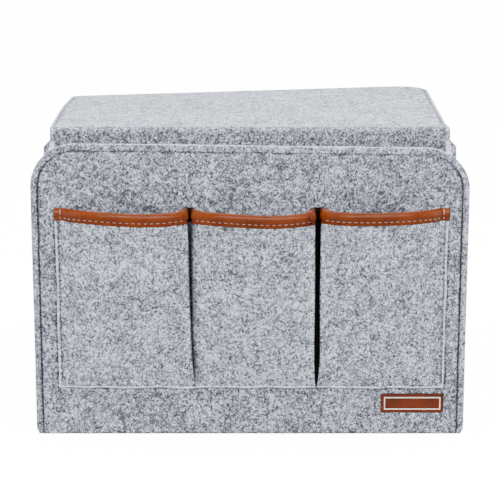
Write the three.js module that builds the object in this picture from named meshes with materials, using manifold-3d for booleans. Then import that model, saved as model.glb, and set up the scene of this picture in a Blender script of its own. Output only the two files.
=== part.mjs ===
// Bedside caddy of wool felt, in millimetres.
// A box pouch with three pleated pockets on its front, and a flap that lies between a mattress and its base.
// +X is to the right as seen from the front, +Y runs from the front to the back, and +Z is up.
// The origin is the middle of the pouch's underside.
import * as THREE from 'three';
import { mergeVertices } from 'three/addons/utils/BufferGeometryUtils.js';
import Module from 'manifold-3d';

const wasm = await Module();
wasm.setup();

// Felt and seams
const feltThickness = 4;
const clearance = 0.3;
const cutOverrun = 5;
const seamAllowance = 5.5;
const threadWidth = 0.9;
const threadHeight = 0.5;
const trimGap = 0.05;

// Pouch
const pouchWidth = 340;
const pouchDepth = 100;
const pouchHeight = 236;
const topCornerRadius = 34;
const foldRadius = 4;
const gussetFrontHeight = 200;
const gussetBackHeight = 220;
const seamStartHeight = 6.5;

// Flap
const flapLength = 205;
const flapSetDown = 5;
const flapCornerRadius = 24;
const flapHemInset = 3;
const flapHemStart = 9;
const creaseDepth = 0.5;

// Front pockets
const pocketFelt = 3;
const pocketBottom = 39;
const pocketMouth = 184.5;
const pocketLeftMargin = 18;
const pocketRightMargin = 15;
const leftPocketWidth = 106;
const rightPocketWidth = 102.6;
const pleatGap = 3.2;
const pocketBulge = 20;
const mouthSag = 1.2;
const pocketHem = 6;
const pocketStitchInset = 2.7;
const hemRise = 20;
const pleatRise = 5;

// Leather binding round each pocket's mouth
const bindingHeight = 10;
const bindingLeather = 1.2;
const bindingStitchUp = 2.5;
const barTackInset = 4.8;
const stitchEndGap = 1.6;
const pleatSeamStart = 95;

// Pockets inside, on the back panel
const innerBottom = 40;
const innerMouth = 190;
const innerMargin = 4;
const innerStitchInset = 2;
const innerNarrowWidth = 123.5;
const innerBulge = 17;
const innerRise = 12;

// Label
const labelWidth = 50;
const labelHeight = 15.6;
const labelLeather = 1.2;
const labelRightMargin = 15.8;
const labelBottom = 18.6;
const labelCornerRadius = 1;
const frameInset = 2.6;
const frameLine = 0.8;
const frameRaise = 0.25;

// Steps along curves, which are counts and not lengths
const arcSteps = 8;
const crossSteps = 18;
const riseSteps = 7;

// How soon a pocket fills out above its lower hem: 1 is slow, and less is sooner
const fillShare = 0.6;

// Places worked out from the sizes above
const frontFace = -pouchDepth / 2;
const backFace = pouchDepth / 2;
const frontInside = frontFace + feltThickness;
const backInside = backFace - feltThickness;
const seamLine = pouchWidth / 2 - seamAllowance;
const webInside = seamLine - feltThickness;
const pocketStripLeft = pocketLeftMargin - pouchWidth / 2;
const pocketStripRight = pouchWidth / 2 - pocketRightMargin;
const leftPleatSeam = pocketStripLeft + leftPocketWidth;
const rightPleatSeam = pocketStripRight - rightPocketWidth;
const flapTop = pouchHeight - flapSetDown;
const foldAxisY = backFace + clearance + feltThickness / 2;
const foldAxisZ = flapTop - feltThickness / 2;
const creaseLow = flapTop - feltThickness - clearance;
const backSeamTop = gussetBackHeight - 2 * seamAllowance;
const grooveWidth = threadWidth + 2 * clearance;
const grooveDepth = threadHeight + 2 * trimGap;

const felt = new THREE.MeshStandardMaterial({ color: 0xb2b4bc, roughness: 0.95, metalness: 0 });
const flapFelt = new THREE.MeshStandardMaterial({ color: 0xc6c8d0, roughness: 0.95, metalness: 0 });
const leather = new THREE.MeshStandardMaterial({ color: 0xa3501f, roughness: 0.45, metalness: 0 });
const labelMaterial = new THREE.MeshStandardMaterial({ color: 0x7a3418, roughness: 0.5, metalness: 0 });
const whiteThread = new THREE.MeshStandardMaterial({ color: 0xe9e4dc, roughness: 0.8, metalness: 0 });
const greyThread = new THREE.MeshStandardMaterial({ color: 0x6d6f76, roughness: 0.8, metalness: 0 });
const print = new THREE.MeshStandardMaterial({ color: 0xeeeae4, roughness: 0.6, metalness: 0 });

const caddy = new THREE.Group();

function add(name, geometry, material) {
  const mesh = new THREE.Mesh(geometry, material);
  mesh.name = name;
  caddy.add(mesh);
  return mesh;
}

// A closed geometry as a solid that can be joined and cut, and back again.
function toSolid(geometry) {
  const bare = geometry.clone();
  bare.deleteAttribute('normal');
  bare.deleteAttribute('uv');
  const merged = mergeVertices(bare);
  const vertProperties = new Float32Array(merged.attributes.position.array);
  const triVerts = new Uint32Array(merged.index.array);
  return new wasm.Manifold(new wasm.Mesh({ numProp: 3, vertProperties, triVerts }));
}

function toGeometry(solid) {
  const mesh = solid.getMesh();
  const geometry = new THREE.BufferGeometry();
  geometry.setAttribute('position', new THREE.BufferAttribute(mesh.vertProperties, 3));
  geometry.setIndex(new THREE.BufferAttribute(mesh.triVerts, 1));
  geometry.computeVertexNormals();
  return geometry;
}

// Turns every triangle round where a body has come out with its faces pointing inwards.
function facingOut(geometry) {
  const place = geometry.attributes.position;
  const corners = geometry.index.array;
  const corner = (number) => new THREE.Vector3().fromBufferAttribute(place, number);
  let volume = 0;
  for (let start = 0; start < corners.length; start += 3) {
    const [a, b, c] = [corner(corners[start]), corner(corners[start + 1]), corner(corners[start + 2])];
    volume += a.dot(b.cross(c));
  }
  if (volume < 0) geometry.setIndex([...corners].reverse());
  geometry.computeVertexNormals();
  return geometry;
}

// Flat outlines lie in the XZ plane (a panel), the YZ plane (a profile) or the XY plane (a plan).
// Each outline is drawn as a THREE.Shape and extruded along the third axis from one place to another.
function extrude(shape, depth) {
  return new THREE.ExtrudeGeometry(shape, { depth, bevelEnabled: false, curveSegments: arcSteps });
}

function extrudePanel(shape, fromY, toY) {
  const geometry = extrude(shape, toY - fromY);
  geometry.rotateX(Math.PI / 2);
  geometry.translate(0, toY, 0);
  return geometry;
}

function extrudeProfile(shape, fromX, toX) {
  const geometry = extrude(shape, toX - fromX);
  const toYZ = new THREE.Matrix4().makeBasis(
    new THREE.Vector3(0, 1, 0),
    new THREE.Vector3(0, 0, 1),
    new THREE.Vector3(1, 0, 0),
  );
  geometry.applyMatrix4(toYZ);
  geometry.translate(fromX, 0, 0);
  return geometry;
}

function extrudePlan(shape, fromZ, toZ) {
  const geometry = extrude(shape, toZ - fromZ);
  geometry.translate(0, 0, fromZ);
  return geometry;
}

function rectangle(left, right, low, high) {
  const shape = new THREE.Shape();
  shape.moveTo(left, low);
  shape.lineTo(right, low);
  shape.lineTo(right, high);
  shape.lineTo(left, high);
  shape.closePath();
  return shape;
}

// A rectangle whose two lower corners share one radius and whose two upper corners share another.
function roundedRectangle(left, right, low, high, lowRadius, highRadius) {
  const shape = new THREE.Shape();
  const corner = (x, y, radius, startAngle) => {
    shape.lineTo(x + radius * Math.cos(startAngle), y + radius * Math.sin(startAngle));
    if (radius > 0) shape.absarc(x, y, radius, startAngle, startAngle + Math.PI / 2, false);
  };
  shape.moveTo(left + lowRadius, low);
  corner(right - lowRadius, low + lowRadius, lowRadius, -Math.PI / 2);
  corner(right - highRadius, high - highRadius, highRadius, 0);
  corner(left + highRadius, high - highRadius, highRadius, Math.PI / 2);
  corner(left + lowRadius, low + lowRadius, lowRadius, Math.PI);
  return shape;
}

// A band of even width along an open line of points, as one closed outline.
function bandOutline(points, width) {
  const left = [];
  const right = [];
  points.forEach((point, index) => {
    const before = points[Math.max(index - 1, 0)];
    const after = points[Math.min(index + 1, points.length - 1)];
    const along = after.clone().sub(before).normalize();
    const across = new THREE.Vector2(-along.y, along.x).multiplyScalar(width / 2);
    left.push(point.clone().add(across));
    right.unshift(point.clone().sub(across));
  });
  return new THREE.Shape([...left, ...right]);
}

// The line of a seam up one side, round two corners, across the top and down the other side.
function archLine(halfWidth, low, high, radius) {
  const points = [new THREE.Vector2(-halfWidth, low)];
  for (let step = 0; step <= arcSteps; step += 1) {
    const angle = Math.PI - (step / arcSteps) * (Math.PI / 2);
    const x = -halfWidth + radius + radius * Math.cos(angle);
    points.push(new THREE.Vector2(x, high - radius + radius * Math.sin(angle)));
  }
  const mirrored = points.map((point) => new THREE.Vector2(-point.x, point.y)).reverse();
  return [...points, ...mirrored];
}

// A closed body from a grid of rings: each ring is one closed section, and the ends are capped.
function loftRings(rings) {
  const count = rings[0].length;
  const positions = rings.flat().flatMap((point) => [point.x, point.y, point.z]);
  const index = [];
  for (let ring = 0; ring < rings.length - 1; ring += 1) {
    for (let side = 0; side < count; side += 1) {
      const next = (side + 1) % count;
      const a = ring * count + side;
      const b = ring * count + next;
      index.push(a, b, b + count, a, b + count, a + count);
    }
  }
  const outline = rings[0].map((point) => point.section);
  const caps = THREE.ShapeUtils.triangulateShape(outline, []);
  const last = (rings.length - 1) * count;
  caps.forEach(([a, b, c]) => {
    index.push(c, b, a);
    index.push(last + a, last + b, last + c);
  });
  const geometry = new THREE.BufferGeometry();
  geometry.setAttribute('position', new THREE.Float32BufferAttribute(positions, 3));
  geometry.setIndex(index);
  return facingOut(geometry);
}

// A bent sheet of even thickness.
// surface(across, up) gives the middle of the sheet, with both shares from 0 to 1.
function sheetGeometry(surface, acrossShares, upShares, thickness) {
  const front = [];
  const back = [];
  upShares.forEach((up) => {
    acrossShares.forEach((across) => {
      const frame = sheetFrame(surface, across, up);
      front.push(frame.place.clone().addScaledVector(frame.out, thickness / 2));
      back.push(frame.place.clone().addScaledVector(frame.out, -thickness / 2));
    });
  });
  const columns = acrossShares.length;
  const rows = upShares.length;
  const total = columns * rows;
  const index = [];
  const quad = (a, b, c, d) => index.push(a, b, c, a, c, d);
  for (let row = 0; row < rows - 1; row += 1) {
    for (let column = 0; column < columns - 1; column += 1) {
      const corner = row * columns + column;
      quad(corner, corner + 1, corner + columns + 1, corner + columns);
      quad(total + corner, total + corner + columns, total + corner + columns + 1, total + corner + 1);
    }
  }
  for (let column = 0; column < columns - 1; column += 1) {
    const top = (rows - 1) * columns + column;
    quad(column + 1, column, total + column, total + column + 1);
    quad(top, top + 1, total + top + 1, total + top);
  }
  for (let row = 0; row < rows - 1; row += 1) {
    const start = row * columns;
    const end = start + columns - 1;
    quad(start, start + columns, total + start + columns, total + start);
    quad(end + columns, end, total + end, total + end + columns);
  }
  const positions = [...front, ...back].flatMap((point) => [point.x, point.y, point.z]);
  const geometry = new THREE.BufferGeometry();
  geometry.setAttribute('position', new THREE.Float32BufferAttribute(positions, 3));
  geometry.setIndex(index);
  return facingOut(geometry);
}

// The place on a sheet with its outward and upward directions, from differences of nearby places.
function sheetFrame(surface, across, up) {
  const stepShare = 1e-3;
  const left = surface(Math.max(across - stepShare, 0), up);
  const right = surface(Math.min(across + stepShare, 1), up);
  const low = surface(across, Math.max(up - stepShare, 0));
  const high = surface(across, Math.min(up + stepShare, 1));
  const side = right.sub(left).normalize();
  const rise = high.sub(low).normalize();
  const out = new THREE.Vector3().crossVectors(side, rise).normalize();
  return { place: surface(across, up), out, rise };
}

// A section swept along a sheet's upper edge. A section point is (outwards, upwards) from the edge.
function sweepAlongEdge(surface, acrossShares, section) {
  const rings = acrossShares.map((across) => {
    const frame = sheetFrame(surface, across, 1);
    return section.map((point) => {
      const place = frame.place.clone();
      place.addScaledVector(frame.out, point.x);
      place.addScaledVector(frame.rise, point.y);
      place.section = point;
      return place;
    });
  });
  return loftRings(rings);
}

// A seam is one bead of thread: a band along its line that stands in front of a face, or lies in a groove.
function frontBead(shape, face) {
  return extrudePanel(shape, face - trimGap - threadHeight, face - trimGap);
}

function uprightBand(x, low, high, width) {
  return rectangle(x - width / 2, x + width / 2, low, high);
}

function uprightLine(x, low, high) {
  return uprightBand(x, low, high, threadWidth);
}

function levelLine(z, left, right) {
  return rectangle(left, right, z - threadWidth / 2, z + threadWidth / 2);
}

// Front, bottom and back of the pouch, which is one strip of felt folded twice

const panelLow = feltThickness + clearance;
const halfWidth = pouchWidth / 2;
const frontOutline = roundedRectangle(-halfWidth, halfWidth, panelLow, pouchHeight, 0, topCornerRadius);
add('front_panel', extrudePanel(frontOutline, frontFace, frontInside), felt);

// The bottom's four lower edges are round, where the felt folds and where its ends are pressed.
function bottomGeometry() {
  const blankHeight = 2 * foldRadius;
  const side = roundedRectangle(frontFace, backFace, 0, blankHeight, foldRadius, 0);
  const face = roundedRectangle(-halfWidth, halfWidth, 0, blankHeight, foldRadius, 0);
  const plan = rectangle(-halfWidth, halfWidth, frontFace, backFace);
  const folded = toSolid(extrudeProfile(side, -halfWidth, halfWidth));
  const pressed = toSolid(extrudePanel(face, frontFace, backFace));
  const sheet = toSolid(extrudePlan(plan, 0, feltThickness));
  return toGeometry(folded.intersect(pressed).intersect(sheet));
}

add('bottom_panel', bottomGeometry(), felt);

// The back is as wide as the front up to the gussets' tops, and as wide as the flap above them.
// Its face stays flat for the bed: the seams lie in grooves, and the fold presses a crease under the flap.
function backGeometry() {
  const outline = new THREE.Shape();
  outline.moveTo(-halfWidth, panelLow);
  outline.lineTo(halfWidth, panelLow);
  outline.lineTo(halfWidth, gussetBackHeight - seamAllowance);
  outline.lineTo(seamLine, gussetBackHeight);
  outline.lineTo(seamLine, flapTop);
  outline.lineTo(-seamLine, flapTop);
  outline.lineTo(-seamLine, gussetBackHeight);
  outline.lineTo(-halfWidth, gussetBackHeight - seamAllowance);
  // The fold into the flap starts with a quarter round at the top, above the crease.
  const creaseFace = backFace - creaseDepth;
  const roundRadius = creaseFace - backInside;
  const profile = new THREE.Shape();
  profile.moveTo(backInside, 0);
  profile.lineTo(backFace, 0);
  profile.lineTo(backFace, creaseLow);
  profile.lineTo(creaseFace, creaseLow);
  profile.lineTo(creaseFace, flapTop);
  profile.absarc(creaseFace, flapTop - roundRadius, roundRadius, Math.PI / 2, Math.PI, false);
  const blank = toSolid(extrudePanel(outline, backInside - cutOverrun, backFace + cutOverrun));
  const round = toSolid(extrudeProfile(profile, -halfWidth - cutOverrun, halfWidth + cutOverrun));
  const groove = (x) => {
    const band = uprightBand(x, seamStartHeight - clearance, backSeamTop + clearance, grooveWidth);
    return toSolid(extrudePanel(band, backFace - grooveDepth, backFace + cutOverrun));
  };
  return toGeometry(blank.intersect(round).subtract(groove(-seamLine)).subtract(groove(seamLine)));
}

add('back_panel', backGeometry(), felt);
add('left_back_seam', frontBead(uprightLine(-seamLine, seamStartHeight, backSeamTop), backFace), greyThread);
add('right_back_seam', frontBead(uprightLine(seamLine, seamStartHeight, backSeamTop), backFace), greyThread);

// Side gussets, each with its margins turned out against the front, the bottom and the back

function gussetGeometry(side) {
  const front = frontInside + clearance;
  const back = backInside - clearance;
  const slope = (gussetBackHeight - gussetFrontHeight) / (back - front);
  const outline = new THREE.Shape();
  outline.moveTo(front, panelLow);
  outline.lineTo(back, panelLow);
  outline.lineTo(back, gussetBackHeight);
  outline.lineTo(front, gussetFrontHeight);
  const recess = new THREE.Shape();
  recess.moveTo(front + feltThickness, panelLow + feltThickness);
  recess.lineTo(back - feltThickness, panelLow + feltThickness);
  recess.lineTo(back - feltThickness, gussetBackHeight + slope * feltThickness + cutOverrun);
  recess.lineTo(front + feltThickness, gussetFrontHeight + slope * feltThickness + cutOverrun);
  const [low, high] = side < 0 ? [-halfWidth, -webInside] : [webInside, halfWidth];
  const cutEdge = halfWidth + cutOverrun;
  const [cutLow, cutHigh] = side < 0 ? [-cutEdge, -seamLine] : [seamLine, cutEdge];
  const blank = toSolid(extrudeProfile(outline, low, high));
  const opening = toSolid(extrudeProfile(recess, cutLow, cutHigh));
  return toGeometry(blank.subtract(opening));
}

add('left_gusset', gussetGeometry(-1), felt);
add('right_gusset', gussetGeometry(1), felt);

// Flap, with a half-round front edge whose middle is the fold's axis, and its hem seam in a groove

function flapHemBand(reach, width) {
  const halfLine = seamLine - flapHemInset;
  const far = foldAxisY + flapLength - flapHemInset;
  const line = archLine(halfLine, foldAxisY + flapHemStart - reach, far, flapCornerRadius - flapHemInset);
  return bandOutline(line, width);
}

function flapGeometry() {
  const far = foldAxisY + flapLength;
  const plan = roundedRectangle(-seamLine, seamLine, foldAxisY - feltThickness, far, 0, flapCornerRadius);
  const profile = new THREE.Shape();
  profile.moveTo(foldAxisY, foldAxisZ - feltThickness / 2);
  profile.lineTo(far + cutOverrun, foldAxisZ - feltThickness / 2);
  profile.lineTo(far + cutOverrun, foldAxisZ + feltThickness / 2);
  profile.lineTo(foldAxisY, foldAxisZ + feltThickness / 2);
  profile.absarc(foldAxisY, foldAxisZ, feltThickness / 2, Math.PI / 2, 1.5 * Math.PI, false);
  const blank = toSolid(extrudePlan(plan, foldAxisZ - feltThickness, foldAxisZ + feltThickness));
  const slab = toSolid(extrudeProfile(profile, -seamLine - cutOverrun, seamLine + cutOverrun));
  const hemBand = flapHemBand(clearance, grooveWidth);
  const groove = extrudePlan(hemBand, flapTop - grooveDepth, flapTop + cutOverrun);
  return toGeometry(blank.intersect(slab).subtract(toSolid(groove)));
}

add('flap', flapGeometry(), flapFelt);
const flapHem = extrudePlan(flapHemBand(0, threadWidth), flapTop - trimGap - threadHeight, flapTop - trimGap);
add('flap_hem_seam', flapHem, greyThread);

// Pockets

// How far along its rise a pocket's wall has come at a distance from its edge, from 0 to nearly 1.
function riseShare(distance, length) {
  return 1 - Math.exp(-Math.max(distance, 0) / length);
}

// One pocket's sheet. Each side is a hem, which lies flat, or a pleat, which stands up steeply.
// The sheet lies at y = base where it is flat, and the leather behind it lifts it near the mouth.
function pocketSurface(pocket) {
  const height = pocket.mouth - pocket.bottom;
  return (across, up) => {
    const rise = Math.max(up - pocket.hem / height, 0) / (1 - pocket.hem / height);
    const fullness = Math.sin((rise * Math.PI) / 2) ** fillShare;
    const left = pocket.left.x + fullness * pocket.left.drawIn;
    const right = pocket.right.x - fullness * pocket.right.drawIn;
    const x = left + (right - left) * across;
    const fromLeft = riseShare(x - left - pocket.left.hem, pocket.left.rise);
    const fromRight = riseShare(right - x - pocket.right.hem, pocket.right.rise);
    const bulge = pocket.bulge * fullness * fromLeft * fromRight;
    const sag = pocket.sag * up * Math.sin(across * Math.PI);
    const fromTop = (1 - up) * height;
    const lift = pocket.lift * THREE.MathUtils.clamp(2 - fromTop / bindingHeight, 0, 1);
    return new THREE.Vector3(x, pocket.base - lift - bulge, pocket.bottom + height * up - sag);
  };
}

// Shares across a pocket, close together towards a pleat and even towards a hem.
function sharesAcross(pocket) {
  const width = pocket.right.x - pocket.left.x;
  const shares = [];
  for (let step = 0; step <= crossSteps; step += 1) {
    const half = crossSteps / 2;
    const fromLeft = step <= half;
    const side = fromLeft ? pocket.left : pocket.right;
    const part = fromLeft ? step / half : (crossSteps - step) / half;
    const spread = side.hem > 0 ? part : part ** 2;
    shares.push(fromLeft ? spread / 2 : 1 - spread / 2);
  }
  if (pocket.left.hem > 0) shares.push(pocket.left.hem / width);
  if (pocket.right.hem > 0) shares.push(1 - pocket.right.hem / width);
  return shares.sort((one, other) => one - other);
}

function sharesUp(pocket) {
  const height = pocket.mouth - pocket.bottom;
  const hemShare = pocket.hem / height;
  const liftShare = 1 - (2 * bindingHeight) / height;
  const shares = [0];
  for (let step = 0; step <= riseSteps; step += 1) {
    shares.push(hemShare + ((liftShare - hemShare) * step) / riseSteps);
  }
  return [...shares, 1 - bindingHeight / height, 1];
}

const pleatHalf = pleatGap / 2 + bindingLeather + clearance + pocketFelt / 2;
const pleatSide = (x, toward) => ({
  x: x + (toward * clearance) / 2,
  drawIn: pleatHalf - clearance / 2,
  hem: 0,
  rise: pleatRise,
});
const hemSide = (x) => ({ x, drawIn: 0, hem: pocketHem, rise: hemRise });
const frontPocketSizes = {
  bottom: pocketBottom,
  mouth: pocketMouth,
  base: frontFace - clearance - pocketFelt / 2,
  hem: pocketHem,
  bulge: pocketBulge,
  sag: mouthSag,
  lift: bindingLeather + clearance,
};
const frontPockets = {
  left: { ...frontPocketSizes, left: hemSide(pocketStripLeft), right: pleatSide(leftPleatSeam, -1) },
  middle: { ...frontPocketSizes, left: pleatSide(leftPleatSeam, 1), right: pleatSide(rightPleatSeam, -1) },
  right: { ...frontPocketSizes, left: pleatSide(rightPleatSeam, 1), right: hemSide(pocketStripRight) },
};

for (const [name, pocket] of Object.entries(frontPockets)) {
  const surface = pocketSurface(pocket);
  const geometry = sheetGeometry(surface, sharesAcross(pocket), sharesUp(pocket), pocketFelt);
  add(`${name}_pocket`, geometry, felt);
}

// Binding: leather folded over the mouth's edge, with a running stitch near its lower edge

const legInside = pocketFelt / 2 + clearance;
const legOutside = legInside + bindingLeather;
const bindingSection = [
  new THREE.Vector2(-legOutside, bindingLeather + clearance),
  new THREE.Vector2(-legOutside, bindingLeather + clearance - bindingHeight),
  new THREE.Vector2(-legInside, bindingLeather + clearance - bindingHeight),
  new THREE.Vector2(-legInside, clearance),
  new THREE.Vector2(legInside, clearance),
  new THREE.Vector2(legInside, bindingLeather + clearance - bindingHeight),
  new THREE.Vector2(legOutside, bindingLeather + clearance - bindingHeight),
  new THREE.Vector2(legOutside, bindingLeather + clearance),
];
const stitchLow = bindingLeather + clearance - bindingHeight + bindingStitchUp;

function stitchSection(low, high) {
  return [
    new THREE.Vector2(legOutside + clearance, high),
    new THREE.Vector2(legOutside + clearance, low),
    new THREE.Vector2(legOutside + clearance + threadHeight, low),
    new THREE.Vector2(legOutside + clearance + threadHeight, high),
  ];
}

// The running stitch ends short of a pleat, and next to the cross stitch where the strip is hemmed.
function stitchShares(pocket) {
  const width = pocket.right.x - pocket.left.x;
  const endGap = (side) => (side.hem > 0 ? barTackInset + threadWidth : stitchEndGap);
  const first = endGap(pocket.left) / width;
  const last = 1 - endGap(pocket.right) / width;
  return sharesAcross(pocket).filter((share) => share > first && share < last);
}

for (const [name, pocket] of Object.entries(frontPockets)) {
  const surface = pocketSurface(pocket);
  add(`${name}_binding`, sweepAlongEdge(surface, sharesAcross(pocket), bindingSection), leather);
  const stitch = stitchSection(stitchLow, stitchLow + threadWidth);
  add(`${name}_binding_stitch`, sweepAlongEdge(surface, stitchShares(pocket), stitch), whiteThread);
}

// Pockets inside, one wide and one narrow, sewn to the back panel

const innerSide = (x, hem) => ({ x, drawIn: 0, hem, rise: innerRise });
const innerEdge = webInside - innerMargin;
const innerDivider = innerEdge - innerNarrowWidth;
const innerPocketSizes = {
  bottom: innerBottom,
  mouth: innerMouth,
  base: backInside - clearance - pocketFelt / 2,
  hem: pocketHem,
  bulge: innerBulge,
  sag: 0,
  lift: 0,
};
const innerSeam = (toward) => innerSide(innerDivider + (toward * clearance) / 2, pocketHem / 2);
const innerPockets = {
  wide: { ...innerPocketSizes, left: innerSide(-innerEdge, pocketHem), right: innerSeam(-1) },
  narrow: { ...innerPocketSizes, left: innerSeam(1), right: innerSide(innerEdge, pocketHem) },
};

for (const [name, pocket] of Object.entries(innerPockets)) {
  const surface = pocketSurface(pocket);
  const geometry = sheetGeometry(surface, sharesAcross(pocket), sharesUp(pocket), pocketFelt);
  add(`inner_${name}_pocket`, geometry, felt);
}

// Label of leather with a plain printed frame line, and nothing in the frame

const labelFace = frontFace - trimGap - labelLeather;
const labelRight = halfWidth - labelRightMargin;
const labelLeft = labelRight - labelWidth;
const labelTop = labelBottom + labelHeight;
const labelOutline = roundedRectangle(
  labelLeft,
  labelRight,
  labelBottom,
  labelTop,
  labelCornerRadius,
  labelCornerRadius,
);
add('label', extrudePanel(labelOutline, labelFace, frontFace - trimGap), labelMaterial);

function labelRing(inset) {
  return rectangle(labelLeft + inset, labelRight - inset, labelBottom + inset, labelTop - inset);
}

const frameOutline = labelRing(frameInset);
frameOutline.holes.push(labelRing(frameInset + frameLine));
add('label_frame', extrudePanel(frameOutline, labelFace - trimGap - frameRaise, labelFace - trimGap), print);

// Seams on the front panel and the pockets

const frontSeam = archLine(
  seamLine,
  seamStartHeight,
  pouchHeight - seamAllowance,
  topCornerRadius - seamAllowance,
);
add('front_seam', frontBead(bandOutline(frontSeam, threadWidth), frontFace), greyThread);

const hemFace = frontFace - clearance - pocketFelt;
const hemLine = pocketBottom + pocketStitchInset;
const hemLeft = pocketStripLeft + pocketStitchInset;
const hemRight = pocketStripRight - pocketStitchInset;
const bindingTop = pocketMouth + clearance + bindingLeather;
const bindingLow = bindingTop - bindingHeight;
add('pocket_hem_seam', frontBead(levelLine(hemLine, hemLeft, hemRight), hemFace), greyThread);
const sideSeamLow = hemLine + threadWidth;
const sideSeamHigh = pocketMouth - 2 * bindingHeight;
add('left_pocket_seam', frontBead(uprightLine(hemLeft, sideSeamLow, sideSeamHigh), hemFace), greyThread);
add('right_pocket_seam', frontBead(uprightLine(hemRight, sideSeamLow, sideSeamHigh), hemFace), greyThread);
const leftPleat = uprightLine(leftPleatSeam, pleatSeamStart, pocketMouth);
const rightPleat = uprightLine(rightPleatSeam, pleatSeamStart, pocketMouth);
add('left_pleat_seam', frontBead(leftPleat, frontFace), greyThread);
add('right_pleat_seam', frontBead(rightPleat, frontFace), greyThread);

const tackFace = frontPocketSizes.base - frontPocketSizes.lift - legOutside - clearance;
const leftTack = uprightLine(pocketStripLeft + barTackInset, bindingLow, bindingTop);
const rightTack = uprightLine(pocketStripRight - barTackInset, bindingLow, bindingTop);
add('left_cross_stitch', frontBead(leftTack, tackFace), whiteThread);
add('right_cross_stitch', frontBead(rightTack, tackFace), whiteThread);

const innerFace = backInside - clearance - pocketFelt;
const innerHemLine = innerBottom + innerStitchInset;
const innerHem = levelLine(innerHemLine, -innerEdge + innerStitchInset, innerEdge - innerStitchInset);
add('inner_hem_seam', frontBead(innerHem, innerFace), greyThread);
const innerSeamLine = uprightLine(innerDivider, innerHemLine + threadWidth, innerMouth - innerStitchInset);
add('inner_divider_seam', frontBead(innerSeamLine, innerFace), greyThread);

export default caddy;
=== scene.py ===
# %% [markdown]
# # A bedside caddy of wool felt
# The caddy is a pouch of thick grey felt. Three pleated pockets, bound with leather, are sewn to its
# front. Two plain pockets hang inside, and a long flap runs out behind, to lie under a mattress.
# The measured model comes first, because every piece below takes its place and size from it.

# %% Load the measured model
import math

import bmesh
import bpy
from mathutils import Matrix, Vector, noise
from mathutils.bvhtree import BVHTree
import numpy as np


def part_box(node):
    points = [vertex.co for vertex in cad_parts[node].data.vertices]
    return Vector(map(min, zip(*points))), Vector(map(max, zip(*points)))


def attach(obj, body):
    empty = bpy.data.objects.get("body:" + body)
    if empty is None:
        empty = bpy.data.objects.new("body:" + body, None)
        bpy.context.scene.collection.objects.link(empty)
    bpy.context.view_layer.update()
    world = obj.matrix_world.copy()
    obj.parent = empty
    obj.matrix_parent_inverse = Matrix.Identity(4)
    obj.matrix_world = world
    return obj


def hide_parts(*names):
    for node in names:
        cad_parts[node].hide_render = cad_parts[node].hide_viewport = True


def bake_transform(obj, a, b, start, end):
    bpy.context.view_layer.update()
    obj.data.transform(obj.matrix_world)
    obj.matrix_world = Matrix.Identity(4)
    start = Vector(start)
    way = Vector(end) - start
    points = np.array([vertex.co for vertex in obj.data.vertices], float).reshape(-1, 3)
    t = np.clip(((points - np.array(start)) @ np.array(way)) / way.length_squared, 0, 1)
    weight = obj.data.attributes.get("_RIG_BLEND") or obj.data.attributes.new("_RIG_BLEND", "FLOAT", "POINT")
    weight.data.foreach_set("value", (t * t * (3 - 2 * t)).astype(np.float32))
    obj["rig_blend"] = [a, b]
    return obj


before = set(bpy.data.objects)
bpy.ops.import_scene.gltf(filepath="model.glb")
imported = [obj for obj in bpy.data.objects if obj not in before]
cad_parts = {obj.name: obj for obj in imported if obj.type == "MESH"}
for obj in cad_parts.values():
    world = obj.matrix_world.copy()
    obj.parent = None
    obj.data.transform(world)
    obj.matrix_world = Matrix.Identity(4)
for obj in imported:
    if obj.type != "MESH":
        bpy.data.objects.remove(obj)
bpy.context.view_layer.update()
mm = 0.001

# %% Sizes that the pieces share
front_low, front_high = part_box("front_panel")
back_low, back_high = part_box("back_panel")
bottom_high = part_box("bottom_panel")[1]
flap_low, flap_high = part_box("flap")
seam_low, seam_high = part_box("front_seam")
felt_thick = front_high.y - front_low.y
half_width = front_high.x
half_bead = 0.45 * mm
seam_x = seam_high.x - half_bead
seam_inset = half_width - seam_x
flap_half = flap_high.x
print("pouch is %.0f mm wide and %.0f mm high" % (2000 * half_width, 1000 * front_high.z))

# %% [markdown]
# ## Camera
# A picture is easiest to compare when the camera comes before anything is built. The lens, place and
# pitch were worked out from things of known width, so they are typed here once and left alone.

# %% Camera
camera_data = bpy.data.cameras.new("camera")
camera = bpy.data.objects.new("camera", camera_data)
bpy.context.scene.collection.objects.link(camera)
bpy.context.scene.camera = camera
camera_pitch = math.radians(14.29)
camera_distance, camera_height = 1.459, 0.511
camera.location = (0, -camera_distance, camera_height)
camera.rotation_euler = (math.pi / 2 - camera_pitch, 0, 0)
focal_in_pixels = 1862
image_pixels = 500
camera_data.sensor_width = 36
camera_data.lens = focal_in_pixels / image_pixels * camera_data.sensor_width
print("lens %.1f mm" % camera_data.lens)

# %% [markdown]
# ## Node helpers
# A material is a small chain of nodes. One helper that adds a node, fills its sockets and links it
# keeps each recipe below as short as its idea.

# %% Node helpers
def add_node(tree, kind, inputs=None, **settings):
    node = tree.nodes.new("ShaderNode" + kind)
    for name, value in settings.items():
        setattr(node, name, value)
    for name, value in (inputs or {}).items():
        if isinstance(value, bpy.types.NodeSocket):
            tree.links.new(value, node.inputs[name])
        else:
            node.inputs[name].default_value = value
    return node


def new_material(name, roughness):
    material = bpy.data.materials.new(name)
    material.use_nodes = True
    shader = material.node_tree.nodes["Principled BSDF"]
    shader.inputs["Roughness"].default_value = roughness
    return material, material.node_tree, shader


def math_node(tree, operation, first, second=0.0):
    node = add_node(tree, "Math", operation=operation)
    for socket, value in zip(node.inputs, (first, second)):
        if isinstance(value, bpy.types.NodeSocket):
            tree.links.new(value, socket)
        else:
            socket.default_value = value
    return node.outputs[0]


def remap(tree, value, low, high, to_low=0.0, to_high=1.0):
    inputs = {"Value": value, "From Min": low, "From Max": high, "To Min": to_low, "To Max": to_high}
    return add_node(tree, "MapRange", inputs).outputs["Result"]


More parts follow.
